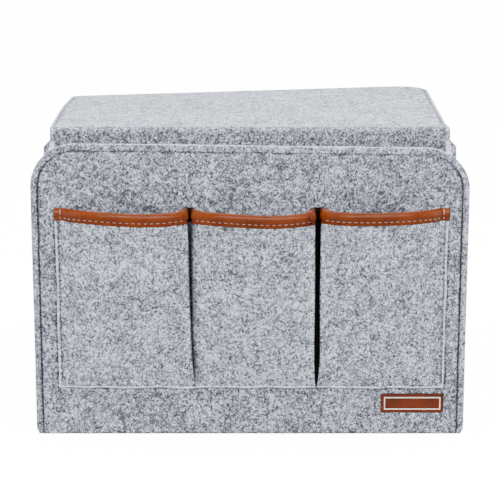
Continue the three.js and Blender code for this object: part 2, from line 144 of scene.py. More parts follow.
def mix_colors(tree, share, first, second):
    node = add_node(tree, "Mix", {0: share}, data_type="RGBA")
    for socket, value in zip(node.inputs[6:8], (first, second)):
        if isinstance(value, bpy.types.NodeSocket):
            tree.links.new(value, socket)
        else:
            socket.default_value = (*value, 1)
    return node.outputs[2]


def painted(tree, name, output="Fac"):
    """Reads a mark that is painted on the vertices."""
    return add_node(tree, "Attribute", attribute_name=name).outputs[output]


def add_relief(tree, shader, height, strength, distance):
    relief = add_node(tree, "Bump", {"Height": height, "Strength": strength, "Distance": distance})
    tree.links.new(relief.outputs[0], shader.inputs["Normal"])


def soft_noise(tree, place, size, detail, bend=0.0):
    inputs = {"Vector": place, "Scale": 1 / size, "Detail": detail, "Roughness": 0.6, "Distortion": bend}
    return add_node(tree, "TexNoise", inputs).outputs["Fac"]


# %% [markdown]
# ## Felt
# Felt is wool fibre pressed at random, so it has no weave. Heather grey felt mixes pale wool with some
# dark: seen close, hairs cross in every direction over a fine grain and wider clumps. Each family of
# hairs here is a noise stretched along one direction, a cube's diagonals and edges, so that hairs lie
# across a panel whichever way it faces. The pattern is read from where a point was when it was built,
# so it stays on the cloth when the flap folds. Two marks painted on the vertices help it: cut edges
# are paler, partly the wool's own tone and partly a painted highlight where edges catch the light,
# and felt deep in a seam, along a fold, beside the pocket strip or in a pleat gets a near-black painted
# shade.

# %% Marks of the wool
grain = {"size": 1.7 * mm, "detail": 2.5, "bend": 1.0, "reach": 0.18, "amount": 0.54}
tufts = {"size": 3.5 * mm, "detail": 2.0, "bend": 0.8, "reach": 0.2, "amount": 0.2}
clumps = {"size": 9 * mm, "detail": 3.0, "bend": 0.6, "reach": 0.2, "amount": 0.15}
patches = {"size": 28 * mm, "detail": 1.0, "bend": 0.0, "reach": 0.2, "amount": 0.045}
hair_size = (3.0 * mm, 0.95 * mm, 0.95 * mm)
gathering_size, dark_curl_size, pale_curl_size = 6 * mm, 3.4 * mm, 2.6 * mm
fibre_relief = 0.4 * mm
dark_wool, mid_wool, pale_wool = (0.056, 0.056, 0.063), (0.18, 0.193, 0.235), (0.78, 0.85, 1.0)
# Painted shade: the nearly black colour of felt deep in a seam, along a fold or in a pleat.
painted_shade_wool = (0.003, 0.003, 0.004)
diagonal, eighth_turn = math.atan(math.sqrt(0.5)), math.pi / 4
hair_turns = [(0, tilt, turn) for turn in (eighth_turn, -eighth_turn) for tilt in (diagonal, -diagonal)]
hair_turns += [(0, 0, 0), (0, 2 * eighth_turn, 0)]
print("marks from %.2f to %.0f mm" % (1000 * hair_size[1], 1000 * patches["size"]))


# %% Felt material
def mottle(tree, place, size, detail, bend, reach, amount):
    """Soft dark and pale marks of one size, from minus to plus the amount."""
    value = soft_noise(tree, place, size, detail, bend)
    return remap(tree, value, 0.5 - reach, 0.5 + reach, -amount, amount)


def hair_noise(tree, place, turn):
    """Noise stretched into short hairs that lie along one direction."""
    mapping = {"Vector": place, "Rotation": turn, "Scale": hair_size}
    laid = add_node(tree, "Mapping", mapping, vector_type="TEXTURE")
    inputs = {"Vector": laid.outputs[0], "Scale": 1.0, "Detail": 1.0, "Roughness": 0.5, "Distortion": 0.9}
    return add_node(tree, "TexNoise", inputs).outputs["Fac"]


def curled_lines(tree, place, size, width):
    """Thin curls, where a noise crosses its middle value, from 0 to 1."""
    noise_value = soft_noise(tree, place, size, 1.0, 1.5)
    far = math_node(tree, "ABSOLUTE", math_node(tree, "SUBTRACT", noise_value, 0.5))
    return remap(tree, far, 0.0, width, 1.0, 0.0)


def add_parts(tree, parts):
    total = parts[0]
    for part in parts[1:]:
        total = math_node(tree, "ADD", total, part)
    return total


def felt_material(name, lightness):
    """Felt whose mix of dark and pale wool is set by one number, from 0 to 1."""
    material, tree, shader = new_material(name, 0.95)
    place = painted(tree, "rest_place", "Vector")
    hairs = [hair_noise(tree, place, turn) for turn in hair_turns]
    darkest, palest = hairs[0], hairs[3]
    for hair in hairs[1:]:
        darkest = math_node(tree, "MINIMUM", darkest, hair)
    for hair in (hairs[0], hairs[5]):
        palest = math_node(tree, "MAXIMUM", palest, hair)
    gathered = remap(tree, soft_noise(tree, place, gathering_size, 1.0), 0.35, 0.65, 0.4, 1.0)
    dark_hairs = remap(tree, darkest, 0.2, 0.42, -0.35, 0.0)
    dark_curls = math_node(tree, "MULTIPLY", curled_lines(tree, place, dark_curl_size, 0.05), -0.3)
    dark_hairs = math_node(tree, "MULTIPLY", math_node(tree, "ADD", dark_hairs, dark_curls), gathered)
    pale_hairs = remap(tree, palest, 0.54, 0.78, 0.0, 0.5)
    pale_curls = math_node(tree, "MULTIPLY", curled_lines(tree, place, pale_curl_size, 0.045), 0.5)
    # Paler cut edges: partly the wool's own tone, partly a painted highlight where edges catch the light.
    edge = math_node(tree, "MULTIPLY", painted(tree, "cut_edge_and_highlight"), 0.3)
    parts = [mottle(tree, place, **marks) for marks in (grain, tufts, clumps, patches)]
    tone = add_parts(tree, parts + [dark_hairs, pale_hairs, pale_curls, edge, lightness])
    ramp = add_node(tree, "ValToRGB", {0: tone})
    stops = ramp.color_ramp.elements
    stops[0].position, stops[0].color = 0.0, (*dark_wool, 1)
    stops[1].position, stops[1].color = 1.0, (*pale_wool, 1)
    stops.new(0.5).color = (*mid_wool, 1)
    # Painted shade: felt in seams, along folds and in pleats is mixed toward near black.
    shaded = mix_colors(tree, painted(tree, "crease"), ramp.outputs[0], painted_shade_wool)
    tree.links.new(shaded, shader.inputs["Base Color"])
    add_relief(tree, shader, tone, 0.6, fibre_relief)
    shader.inputs["Sheen Weight"].default_value = 0.05
    shader.inputs["Sheen Roughness"].default_value = 0.6
    shader.inputs["Specular IOR Level"].default_value = 0.1
    return material


# The pouch's felt is set darkest and the pocket strip's paler; the flap's palest felt is painted light, a
# lit copy for the top light that falls on it.
felt = felt_material("felt", 0.33)
pocket_felt = felt_material("pocket_felt", 0.42)
flap_felt = felt_material("flap_felt", 0.58)
print("felt finishes:", felt.name, pocket_felt.name, flap_felt.name)

# %% [markdown]
# ## Leather and thread
# The bindings are smooth saddle brown leather: a fine pebbled grain, a soft shine, and a paler tone
# painted along the roll as a highlight, where the light catches it. The label is a darker piece of
# the same. Thread is two twisted plies, so it gets slanting stripes along each stitch.

# %% Leather material
cloud_size, pebble_size, pebble_relief = 14 * mm, 0.7 * mm, 0.12 * mm
leather_in_shade = (0.006, 0.002, 0.001)


def leather_material(name, deep, warm, roughness):
    material, tree, shader = new_material(name, roughness)
    place = painted(tree, "rest_place", "Vector")
    clouds = remap(tree, soft_noise(tree, place, cloud_size, 4.0), 0.3, 0.7)
    pebble_inputs = {"Vector": place, "Scale": 1 / pebble_size}
    pebbles = add_node(tree, "TexVoronoi", pebble_inputs, feature="SMOOTH_F1").outputs["Distance"]
    share = math_node(tree, "ADD", clouds, remap(tree, pebbles, 0.0, 0.8, 0.12, -0.12))
    # Cut edges are darker; along the roll's upper part the mark turns negative, a painted highlight.
    edge = math_node(tree, "MULTIPLY", painted(tree, "cut_edge_and_highlight"), 0.7)
    share = math_node(tree, "SUBTRACT", share, edge)
    color = mix_colors(tree, painted(tree, "crease"), mix_colors(tree, share, deep, warm), leather_in_shade)
    tree.links.new(color, shader.inputs["Base Color"])
    add_relief(tree, shader, pebbles, 0.25, pebble_relief)
    shader.inputs["Specular IOR Level"].default_value = 0.17
    return material


binding_leather = leather_material("binding_leather", (0.076, 0.0115, 0.0008), (0.15, 0.0258, 0.0016), 0.26)
label_leather = leather_material("label_leather", (0.066, 0.01, 0.002), (0.12, 0.019, 0.003), 0.5)
# The dark marks between the binding's stitches are the needle holes with painted shade in them.
hole_shade_finish = leather_material("needle_hole_shade_leather", (0.012, 0.002, 0.001), (0.02, 0.004, 0.001), 0.7)
print("leathers:", binding_leather.name, label_leather.name, hole_shade_finish.name)


# %% Thread material
ply_relief = 0.1 * mm


def thread_material(name, color, shade):
    material, tree, shader = new_material(name, 0.75)
    ply = painted(tree, "ply", "Vector")
    twist = add_node(tree, "TexWave", {"Vector": ply, "Scale": 1.0, "Distortion": 0.3}).outputs["Fac"]
    stripes = mix_colors(tree, remap(tree, twist, 0.1, 0.8), shade, color)
    tree.links.new(stripes, shader.inputs["Base Color"])
    add_relief(tree, shader, twist, 0.6, ply_relief)
    return material


white_thread = thread_material("white_thread", (0.62, 0.47, 0.37), (0.3, 0.2, 0.13))
grey_thread = thread_material("grey_thread", (0.035, 0.036, 0.045), (0.01, 0.01, 0.014))
# A copy of the grey thread with painted shade, nearly black and without shine, for the stitches deep in the
# pleats.
pleat_shade_thread = thread_material("pleat_shade_thread", (0.006, 0.006, 0.007), (0.003, 0.003, 0.004))
pleat_shade_thread.node_tree.nodes["Principled BSDF"].inputs["Specular IOR Level"].default_value = 0.0
print("threads:", white_thread.name, grey_thread.name, pleat_shade_thread.name)

# %% [markdown]
# A pleat is so deep and narrow that hardly any light comes back out of it. A rendered slot of felt
# still looks too pale, because light bounces in it many times, so the faces deep in a pleat get a
# finish of their own that is nearly black and has no shine.

# %% Finish deep in a pleat
pleat_shade, _, shade_shader = new_material("pleat_shade", 1.0)
shade_shader.inputs["Base Color"].default_value = (0.004, 0.003, 0.003, 1)
shade_shader.inputs["Specular IOR Level"].default_value = 0.0
print("pleat finish:", pleat_shade.name)

# %% [markdown]
# ## How each felt sheet is made
# A sheet starts as a flat grid with a loop of vertices wherever it will bend or be sewn. A function
# then says where each vertex goes, and Solidify gives the sheet its thickness. A vertex group thins the
# felt where a seam pulls it in, and a small Bevel takes the sharpness off the cut edges. The modifiers
# are applied at once, so what follows measures the real surface.

# %% Number helpers
def spread(start, end, step):
    count = max(1, round(abs(end - start) / step))
    return [start + (end - start) * k / count for k in range(count)]


def ease(value, low, high):
    share = min(1.0, max(0.0, (value - low) / (high - low)))
    return share * share * (3 - 2 * share)


def between(value, stops, targets):
    for k in range(len(stops) - 1):
        if value <= stops[k + 1]:
            share = (value - stops[k]) / (stops[k + 1] - stops[k])
            return targets[k] + (targets[k + 1] - targets[k]) * share
    return targets[-1]


def bell(distance, width):
    """1 at no distance, and near 0 from two widths on."""
    return math.exp(-((distance / width) ** 2))


def wave(point, size, amount):
    return amount * noise.noise(point / size)


# %% Sheet helpers
sharp_angle = math.radians(50)
felt_marks = ("thickness_share", "cut_edge_and_highlight", "crease")


def felt_layers(bm):
    return [bm.verts.layers.float.new(name) for name in felt_marks]


def sheet_grid(columns, rows, place, notes):
    """A grid of columns by rows; notes gives a vertex its thickness share, paleness and painted shade."""
    bm = bmesh.new()
    share_layer, edge_layer, crease_layer = felt_layers(bm)
    across, along = len(columns) - 1, len(rows) - 1
    bmesh.ops.create_grid(bm, x_segments=across, y_segments=along, size=0.5)
    for vertex in bm.verts:
        i = round((vertex.co.x + 0.5) * across)
        j = round((vertex.co.y + 0.5) * along)
        vertex.co = place(columns[i], rows[j])
        share, pale, crease = notes(columns[i], rows[j])
        vertex[share_layer] = share
        vertex[edge_layer] = max(pale, 1.0) if vertex.is_boundary else pale
        vertex[crease_layer] = crease
    return bm


def faces_toward(bm, point_inside, outward):
    """Turns every face round if the one nearest a point looks away from the outward direction."""
    bm.normal_update()
    nearest = min(bm.faces, key=lambda face: (face.calc_center_median() - point_inside).length)
    if nearest.normal.dot(outward) < 0:
        bmesh.ops.reverse_faces(bm, faces=bm.faces[:])
    bm.normal_update()


def apply_modifiers(obj):
    depsgraph = bpy.context.evaluated_depsgraph_get()
    final = bpy.data.meshes.new_from_object(obj.evaluated_get(depsgraph), depsgraph=depsgraph)
    obj.modifiers.clear()
    obj.data = final


def remember_rest_place(obj):
    rest = obj.data.attributes.new("rest_place", "FLOAT_VECTOR", "POINT")
    for vertex, value in zip(obj.data.vertices, rest.data):
        value.vector = vertex.co
    return obj


def new_piece(bm, name, material):
    mesh = bpy.data.meshes.new(name)
    bm.to_mesh(mesh)
    bm.free()
    mesh.materials.append(material)
    mesh.shade_smooth()
    obj = bpy.data.objects.new(name, mesh)
    bpy.context.scene.collection.objects.link(obj)
    return obj


def thicken(bm, name, material, thickness, round_off):
    """Makes a piece from a sheet; the thickness grows away from where the faces look."""
    obj = new_piece(bm, name, material)
    group = obj.vertex_groups.new(name="thickness")
    shares = [item.value for item in obj.data.attributes["thickness_share"].data]
    for index, share in enumerate(shares):
        group.add([index], share / max(shares), "REPLACE")
    solid = obj.modifiers.new("thickness", "SOLIDIFY")
    solid.thickness = thickness * max(shares)
    solid.offset = -1.0
    solid.use_even_offset = True
    solid.use_quality_normals = True
    solid.vertex_group = group.name
    edge = obj.modifiers.new("cut edges", "BEVEL")
    edge.width = round_off
    edge.segments = 2
    edge.limit_method = "ANGLE"
    edge.angle_limit = sharp_angle
    apply_modifiers(obj)
    remember_rest_place(obj)
    print(name, "has", len(obj.data.polygons), "faces")
    return obj


def shade_where_dark(obj, limit):
    """Gives the faces deep in a pleat, whose painted shade is over a limit, the nearly black finish."""
    obj.data.materials.append(pleat_shade)
    creases = obj.data.attributes["crease"].data
    for face in obj.data.polygons:
        if min(creases[index].value for index in face.vertices) > limit:
            face.material_index = 1


def surface_of(obj):
    return BVHTree.FromObject(obj, bpy.context.evaluated_depsgraph_get())


# %% [markdown]
# ## The long strip: front, bottom, back and flap
# On the real caddy these are one strip of felt, folded twice under the pouch and once more where the
# flap leaves the back. Four plates would show false joints, so one grid follows the whole strip. Its
# corners are rounded by moving a square block of vertices onto an arc, which keeps the loops for the
# perimeter seam at an even distance from the edge.

# %% Outline of the pocket strip on the front
left_low, left_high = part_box("left_pocket")
right_low, right_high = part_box("right_pocket")
pocket_ends = [left_low.x, right_high.x]
pocket_low = left_low.z
pocket_mouth = 184.5 * mm
pocket_height = pocket_mouth - pocket_low
side_pull = {-1: 0.6 * mm, 1: -1.4 * mm}
hem_raise = 0.9 * mm
# A thin painted shadow lies on the front just outside the pocket strip's sides and hem.
shadow_beside, shadow_below, shadow_width = 0.7 * mm, 1.4 * mm, 0.55 * mm
shadow_top = pocket_mouth - 8 * mm


def side_shift(x, z):
    """How far the pocket strip's side edge is pulled sideways at a height."""
    up = (z - pocket_low) / pocket_height
    pull = side_pull[-1 if x < 0 else 1]
    return (pull + wave(Vector((0, 0.2, z)), 26 * mm, 0.7 * mm)) * (1 - up**8)


def hem_lift(x):
    """How far the pocket strip's lower hem waves up or down."""
    return wave(Vector((x, 0.7, 0)), 22 * mm, 1.5 * mm)


def beside_pocket(x, z):
    """How near a point of the front is to the painted shadow line just outside the pocket strip, from 0 to
    1.
    """
    beyond_side = abs(x) - abs(pocket_ends[x > 0] + side_shift(x, z))
    beyond_hem = pocket_low + hem_raise + hem_lift(x) - z
    side_line = bell(beyond_side - shadow_beside, shadow_width) if beyond_hem < shadow_below else 0.0
    hem_line = bell(beyond_hem - shadow_below, shadow_width) if beyond_side < shadow_beside else 0.0
    return max(side_line, hem_line) if z < shadow_top else 0.0


print("pockets reach from %.0f to %.0f mm" % (1000 * pocket_ends[0], 1000 * pocket_ends[1]))

# %% Runs of the long strip
bend = 0.6 * mm
flap_bend = felt_thick + 0.5 * mm
front_run = front_high.z - bottom_high.z - bend
bottom_run = (back_low.y - front_high.y) - 2 * bend
back_run = back_high.z - flap_bend - bottom_high.z - bend
flap_run = flap_high.y - back_low.y - flap_bend
turn_run = bend * math.pi / 2
fold_run = flap_bend * math.pi / 2
runs = [front_run, turn_run, bottom_run, turn_run, back_run, fold_run, flap_run]
starts = [sum(runs[:k]) for k in range(len(runs) + 1)]
strip_length = starts[-1]
print("the strip is %.0f mm long, in %d runs" % (1000 * strip_length, len(runs)))

# %% Loops of the long strip
block = 34 * mm
inner_half = half_width - block
back_margin_top = 214.5 * mm
margin_end = starts[4] + back_margin_top - bottom_high.z
edge_loops = [
    v * mm
    for v in (0, 0.7, 2.2, 4.2, 4.95, 5.5, 6.05, 6.9, 9.5, 14, 15.4, 16, 16.6, 17.2, 17.8, 19, 24, 29)
]
step = 6.6 * mm
strip_columns = [-half_width + inset for inset in edge_loops]
strip_columns += spread(-inner_half, inner_half, step)
strip_columns += [inner_half] + [half_width - inset for inset in reversed(edge_loops)]
hem_at = front_high.z - pocket_low
hem_from, hem_to = hem_at - 1.1 * mm, hem_at + 1.9 * mm
strip_rows = edge_loops + spread(block, hem_from, step)
strip_rows += spread(hem_from, hem_to, 0.6 * mm) + spread(hem_to, starts[1], step)
strip_rows += spread(starts[1], starts[2], turn_run / 4) + spread(starts[2], starts[3], step)
strip_rows += spread(starts[3], starts[4], turn_run / 4) + spread(starts[4], margin_end, step)
strip_rows += spread(margin_end, starts[5], 3 * mm) + spread(starts[5], starts[6], fold_run / 8)
strip_rows += spread(starts[6], strip_length - block, step)
strip_rows += [strip_length - block] + [strip_length - inset for inset in reversed(edge_loops)]
print("the strip has %d by %d loops" % (len(strip_rows), len(strip_columns)))

# %% Fold path
def fold_path(s):
    """(y, z) of the strip's inner face at a distance s from the front's top edge."""
    k = max(index for index in range(len(runs)) if s >= starts[index] - 1e-9)
    d = s - starts[k]
    low, inner_y, back_y = bottom_high.z, front_high.y, back_low.y
    sine, cosine = math.sin(d / bend), math.cos(d / bend)
    if k == 0:
        return inner_y, front_high.z - d
    if k == 1:
        return inner_y + bend * (1 - cosine), low + bend * (1 - sine)
    if k == 2:
        return inner_y + bend + d, low
    if k == 3:
        return back_y - bend + bend * sine, low + bend * (1 - cosine)
    if k == 4:
        return back_y, low + bend + d
    if k == 5:
        angle = d / flap_bend
        return back_y + flap_bend * (1 - math.cos(angle)), back_high.z - flap_bend * (1 - math.sin(angle))
    return back_y + flap_bend + d, back_high.z


# %% Round corners
def round_corner(u, v, size, radius):
    """Moves a point of a square block onto rings whose outermost has this corner radius."""
    level = max(u, v)
    if min(u, v) <= 0:
        return u, v
    ring = radius * level / size
    straight = level - ring
    along = min(u, v) / level * (straight + ring * math.pi / 4)
    if along <= straight:
        far, near = level, along
    else:
        angle = (along - straight) / ring
        far, near = straight + ring * math.cos(angle), straight + ring * math.sin(angle)
    return (far, near) if u >= v else (near, far)


flap_loop_shift = half_width - flap_half
flap_seam_inset = 3 * mm
flap_stops = [0, seam_inset, block]
flap_insets = [0, flap_seam_inset, block - flap_loop_shift]
flap_corners = {-1: 14 * mm, 1: 27 * mm}
narrowing = 6 * mm


def strip_place(x, s):
    """Where a point of the flat strip lies once it is folded, with round corners."""
    side = 1 if x > 0 else -1
    inset = half_width - abs(x)
    flap_inset = between(inset, flap_stops, flap_insets)
    narrow = ease(s, margin_end, margin_end + narrowing)
    reach = abs(x) + (flap_half - flap_inset - abs(x)) * narrow
    from_end = strip_length - s
    if s < block:
        u, v = round_corner(reach - inner_half, block - s, block, block)
        y, z = fold_path(block)
        return Vector((side * (inner_half + u), y, z + v))
    if from_end < block:
        size = block - flap_loop_shift
        v = size - between(from_end, flap_stops, flap_insets)
        u, v = round_corner(reach - inner_half, v, size, flap_corners[side])
        return Vector((side * (inner_half + u), flap_high.y - size + v, back_high.z))
    if s > starts[6]:
        share = (s - starts[6]) / (strip_length - block - starts[6])
        first_y = back_low.y + flap_bend
        last_y = flap_high.y - block + flap_loop_shift
        return Vector((side * reach, first_y + (last_y - first_y) * share, back_high.z))
    y, z = fold_path(s)
    return Vector((side * reach, y, z))


print("flap corners are %.0f and %.0f mm round" % tuple(1000 * r for r in flap_corners.values()))

# %% [markdown]
# Real felt never lies quite flat. The flap's far left corner droops by twice the felt's thickness, the
# front's right shoulder has sagged a little, and the whole flap has long, shallow waves. These are
# moves of the same vertices. The front's own waves fade out toward its sides, where it is sewn.

# %% How much the strip gives
side_spare, low_side_spare = 0.55 * mm, 0.25 * mm
side_waver, side_waver_size = 0.6 * mm, 13 * mm
end_draw = 1.8 * mm
shoulder_sag, top_lean = 3.2 * mm, 0.5 * mm
front_waves, front_wave_size = 0.35 * mm, 60 * mm
flap_skew = 2 * mm
flap_droop, flap_hump = 8.5 * mm, 1.4 * mm
flap_waves, flap_wave_size = 1.1 * mm, 85 * mm
print("the flap's far left corner droops %.1f mm" % (1000 * flap_droop))


# %% Hang and waves of the strip
def fold_pull(s):
    """How far a fold under the pouch draws its ends in, from 0 to 1, as a crushed felt corner does."""
    pull = 0.0
    for k, wall, floor_end in ((1, starts[1], starts[2] + 9 * mm), (3, starts[4], starts[3] - 9 * mm)):
        middle = (starts[k] + starts[k + 1]) / 2
        end = wall if (s < middle) == (wall < middle) else floor_end
        pull += 1 - ease(abs(s - middle), 0, abs(end - middle))
    return pull


def relax_strip(point, s):
    """Moves a point of the folded strip to where the felt really hangs."""
    moved = point.copy()
    side = 1 if point.x > 0 else -1
    inset = half_width - abs(point.x)
    on_front = 1 - ease(s, starts[1] - 2 * mm, starts[2] + 6 * mm)
    spare = side_spare + low_side_spare * (1 - ease(point.z, 0, 90 * mm))
    near_seam = 1 - ease(abs(inset - seam_inset), 0, 4 * mm)
    waver = wave(Vector((side, 0.9, point.z)), side_waver_size, side_waver)
    moved.x += side * spare * on_front * (1 - ease(inset, 0, 40 * mm))
    moved.x += waver * near_seam * on_front
    moved.x -= side * end_draw * fold_pull(s) * (1 - ease(inset, 0, 7 * mm))
    if s < starts[1]:
        up = point.z / front_high.z
        held = ease(inset, 0, 40 * mm)
        moved.z -= shoulder_sag * ease(point.x, -half_width, half_width) * ease(up, 0.72, 1.0)
        moved.y += top_lean * held * ease(up, 0.8, 1.0) + wave(point, front_wave_size, front_waves) * held
    if s > starts[5]:
        onto_flap = ease(s, starts[5], starts[6] + 20 * mm)
        moved.x -= flap_skew * onto_flap * ease(point.x, 60 * mm, flap_half)
    if s > starts[6]:
        out = (point.y - back_high.y) / (flap_high.y - back_high.y)
        left = ease(-point.x, -20 * mm, flap_half)
        middle = bell(point.x - 25 * mm, 60 * mm)
        waves = wave(point + Vector((0.3, 0.1, 0)), flap_wave_size, flap_waves)
        moved.z += (flap_hump * middle - flap_droop * left) * max(0.0, out) ** 2.2
        moved.z += waves * ease(out, 0, 0.5)
    return moved


def place_on_strip(x, s):
    return relax_strip(strip_place(x, s), s)


# %% Grooves and marks of the strip
most_extra = 1.4
groove_width, press_width = 0.9 * mm, 1.2 * mm


def fold_share(s):
    """Extra thickness that makes the two lower folds crisp outside, as the seam pinches them."""
    for k in (1, 3):
        if starts[k] < s < starts[k + 1]:
            t = (s - starts[k]) / turn_run
            angle = min(t, 1 - t) * math.pi / 2
            return min(((bend + felt_thick) / math.cos(angle) - bend) / felt_thick, most_extra)
    return 1.0


def seam_groove(x, s):
    """How deep the edge seam's groove is, as a share of the felt, and how much painted shade it gets, from 0
    to 1.
    """
    inset, from_end = half_width - abs(x), min(s, strip_length - s)
    if s > starts[6]:
        return 0.25, 0.9
    if s > margin_end - 6 * mm:
        return 0.0, 0.0
    toward_top = ease(inset - from_end, -14 * mm, 6 * mm) if s < block else 0.0
    depth, crease = 0.42 - 0.12 * toward_top, 0.97 - 0.4 * toward_top
    if inset > block:
        crease = 0.3 + 0.27 * (1 - ease(x, -110 * mm, -60 * mm))
    return depth, crease


def strip_notes(x, s):
    """The felt's thickness share, paleness and painted shade at a point of the flat strip."""
    inset, from_end = half_width - abs(x), min(s, strip_length - s)
    nearest = min(inset, from_end)
    to_fold = min(abs(s - starts[1]), abs(s - starts[2]))
    line = bell(nearest - seam_inset, groove_width)
    depth, crease = seam_groove(x, s)
    depth *= ease(to_fold, 1 * mm, 6 * mm)
    pressed = 0.12 * math.exp(-nearest / press_width)
    # Painted highlight: the margins beyond the seam are paler, the right one more, where the side light
    # falls.
    pale = (0.4 if x > 0 else 0.15) * (1 - ease(nearest, seam_inset - 1 * mm, seam_inset + 1 * mm))
    # Painted highlight on the felt's pillow just inside the front's side seams.
    if s < starts[1] and inset < from_end:
        pale += 0.3 * bell(inset - seam_inset - 2.4 * mm, 1.3 * mm)
    # Painted shadow along the fold under the front, where the pouch meets the floor.
    beneath = starts[1] + 0.4 * turn_run < s < starts[3]
    under = 0.6 * bell(to_fold, 0.8 * mm) if beneath else 0.0
    pocket_shadow = 0.6 * beside_pocket(x, front_high.z - s) if s < starts[1] else 0.0
    return fold_share(s) - depth * line - pressed, pale, max(crease * line, under, pocket_shadow)


strip_bm = sheet_grid(strip_columns, strip_rows, place_on_strip, strip_notes)
faces_toward(strip_bm, Vector((0, front_high.y, 100 * mm)), Vector((0, 1, 0)))
body_strip = thicken(strip_bm, "body_strip", felt, felt_thick, round_off=0.6 * mm)

# %% [markdown]
# The flap is seen at a low angle with the light above it, and its felt looks paler than the rest. A
# second, paler finish on the one mesh paints this light in, from just behind the fold.

# %% Flap finish and bend
body_strip.data.materials.append(flap_felt)
flap_from = flap_low.y + 2 * mm
for face in body_strip.data.polygons:
    if face.center.y > flap_from:
        face.material_index = 1
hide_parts("front_panel", "bottom_panel", "back_panel", "flap")
fold_low = Vector((0, back_low.y + 1.5 * mm, back_high.z - 4 * mm))
fold_high = Vector((0, back_high.y + 2.3 * mm, back_high.z + 0.5 * mm))
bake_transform(body_strip, "pouch", "flap", start=fold_low, end=fold_high)
print("the flap's finish starts at %.0f mm" % (1000 * flap_from))

# %% [markdown]
# ## Side gussets
# Each side is a tray of felt: a flat web, set in by the seam allowance, whose margins turn out and lie
# against the front, the bottom and the back. The web is a grid, its three sides are extruded
# outwards, and a bevel turns the hard folds into soft ones.

# %% Edges of a gusset
gusset_bend = felt_thick + 0.5 * mm
gusset_top_front = 200 * mm
gusset_bow = 1.6 * mm
gusset_seam_x = seam_x + 1.2 * mm
gusset_cuts = (-0.6 * mm, 0, 0.6 * mm)
touching = 0.01 * mm


def is_top_edge(edge):
    a, b = (vertex.co for vertex in edge.verts)
    return abs(a.y - b.y) > 1 * mm and min(a.z, b.z) > gusset_top_front - 1 * mm


def is_side_or_low_edge(edge):
    """Whether a web's rim edge is one that a margin turns out from; the top is left plain."""
    lowest = min(vertex.co.z for vertex in edge.verts)
    return edge.is_boundary and lowest < gusset_top_front - 10 * mm and not is_top_edge(edge)


def is_corner_edge(edge, low, high):
    a, b = (vertex.co for vertex in edge.verts)
    at_low = abs(a.z - low.z) < touching and abs(b.z - low.z) < touching
    at_side = min(abs(a.y - low.y), abs(a.y - high.y)) < touching
    return at_low and at_side and abs(a.x - b.x) > 5 * mm


print("the gussets' seam is %.1f mm from the middle" % (1000 * gusset_seam_x))


# %% Gussets
def gusset_web(bm, low, high, side):
    """Moves a unit grid to a gusset's web, which bows in a little; returns the web's x."""
    web = side * (half_width - (high.x - low.x))
    for vertex in bm.verts:
        across, up = vertex.co.x + 0.5, vertex.co.y + 0.5
        top = gusset_top_front + (high.z - gusset_top_front) * across
        bow = side * gusset_bow * math.sin(math.pi * across) * math.sin(math.pi * min(1, 0.15 + 0.6 * up))
        y = low.y + (high.y - low.y) * across
        vertex.co = (web - bow, y, low.z + (top - low.z) * up)
    return web


def turn_margins(bm, low, high, side):
    """Turns a margin out from the web's two sides and its foot, with soft folds."""
    folds = [edge for edge in bm.edges if is_side_or_low_edge(edge)]
    turned = bmesh.ops.extrude_edge_only(bm, edges=folds)["geom"]
    for item in turned:
        if isinstance(item, bmesh.types.BMVert):
            item.co.x = side * half_width
    corners = [edge for edge in bm.edges if is_corner_edge(edge, low, high)]
    bmesh.ops.recalc_face_normals(bm, faces=bm.faces[:])
    bmesh.ops.bevel(
        bm, geom=folds + corners, offset=gusset_bend, offset_type="OFFSET", segments=4,
        profile=0.5, affect="EDGES", material=-1,
    )


def mark_gusset(bm, side):
    """Cuts loops along the margins' seam line, presses the felt there, and paints shade in its groove."""
    for cut in gusset_cuts:
        place = Vector((side * gusset_seam_x + cut, 0, 0))
        everything = bm.verts[:] + bm.edges[:] + bm.faces[:]
        bmesh.ops.bisect_plane(bm, geom=everything, plane_co=place, plane_no=(1, 0, 0))
    share_layer, edge_layer, crease_layer = (bm.verts.layers.float[name] for name in felt_marks)
    for vertex in bm.verts:
        line = bell(abs(vertex.co.x) - gusset_seam_x, 0.5 * mm)
        vertex[share_layer] = 1 - 0.3 * line
        vertex[crease_layer] = 0.5 * line
        vertex[edge_layer] = 1.0 if vertex.is_boundary else 0.0


def make_gusset(name, side):
    low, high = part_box(name)
    bm = bmesh.new()
    felt_layers(bm)
    bmesh.ops.create_grid(bm, x_segments=10, y_segments=21, size=0.5)
    web = gusset_web(bm, low, high, side)
    turn_margins(bm, low, high, side)
    mark_gusset(bm, side)
    faces_toward(bm, Vector((web, 0, 100 * mm)), Vector((-side, 0, 0)))
    gusset = thicken(bm, name + "_felt", felt, felt_thick, round_off=0.6 * mm)
    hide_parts(name)
    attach(gusset, "pouch")
    return gusset


left_gusset = make_gusset("left_gusset", -1)
right_gusset = make_gusset("right_gusset", 1)

# %% [markdown]
# ## The pocket strip
# The three front pockets are one strip of thinner felt. It lies flat in its hems, swells into each
# pocket, and turns sharply back to the panel at each pleat, where a deep, narrow slot is left. Each
# row of the grid is one section of the strip. A section is drawn as the cloth runs: hem, face, rounded
# corner, wall, slot floor, and up the next wall.
#
# Each pleat is one table of measures. "slots" and "drifts" hold the slot's half width, and how far it
# wanders sideways, at each of the slot heights. "shares" says how high each wall is beside the bulge,
# and "low_wall" how thick the folded layers are at the foot. "fades", "lifts" and "deepest" set the
# painted shade in the slot, "rims" paints a highlight on its edges, and "ears" says how far its folds
# push the mouth up.

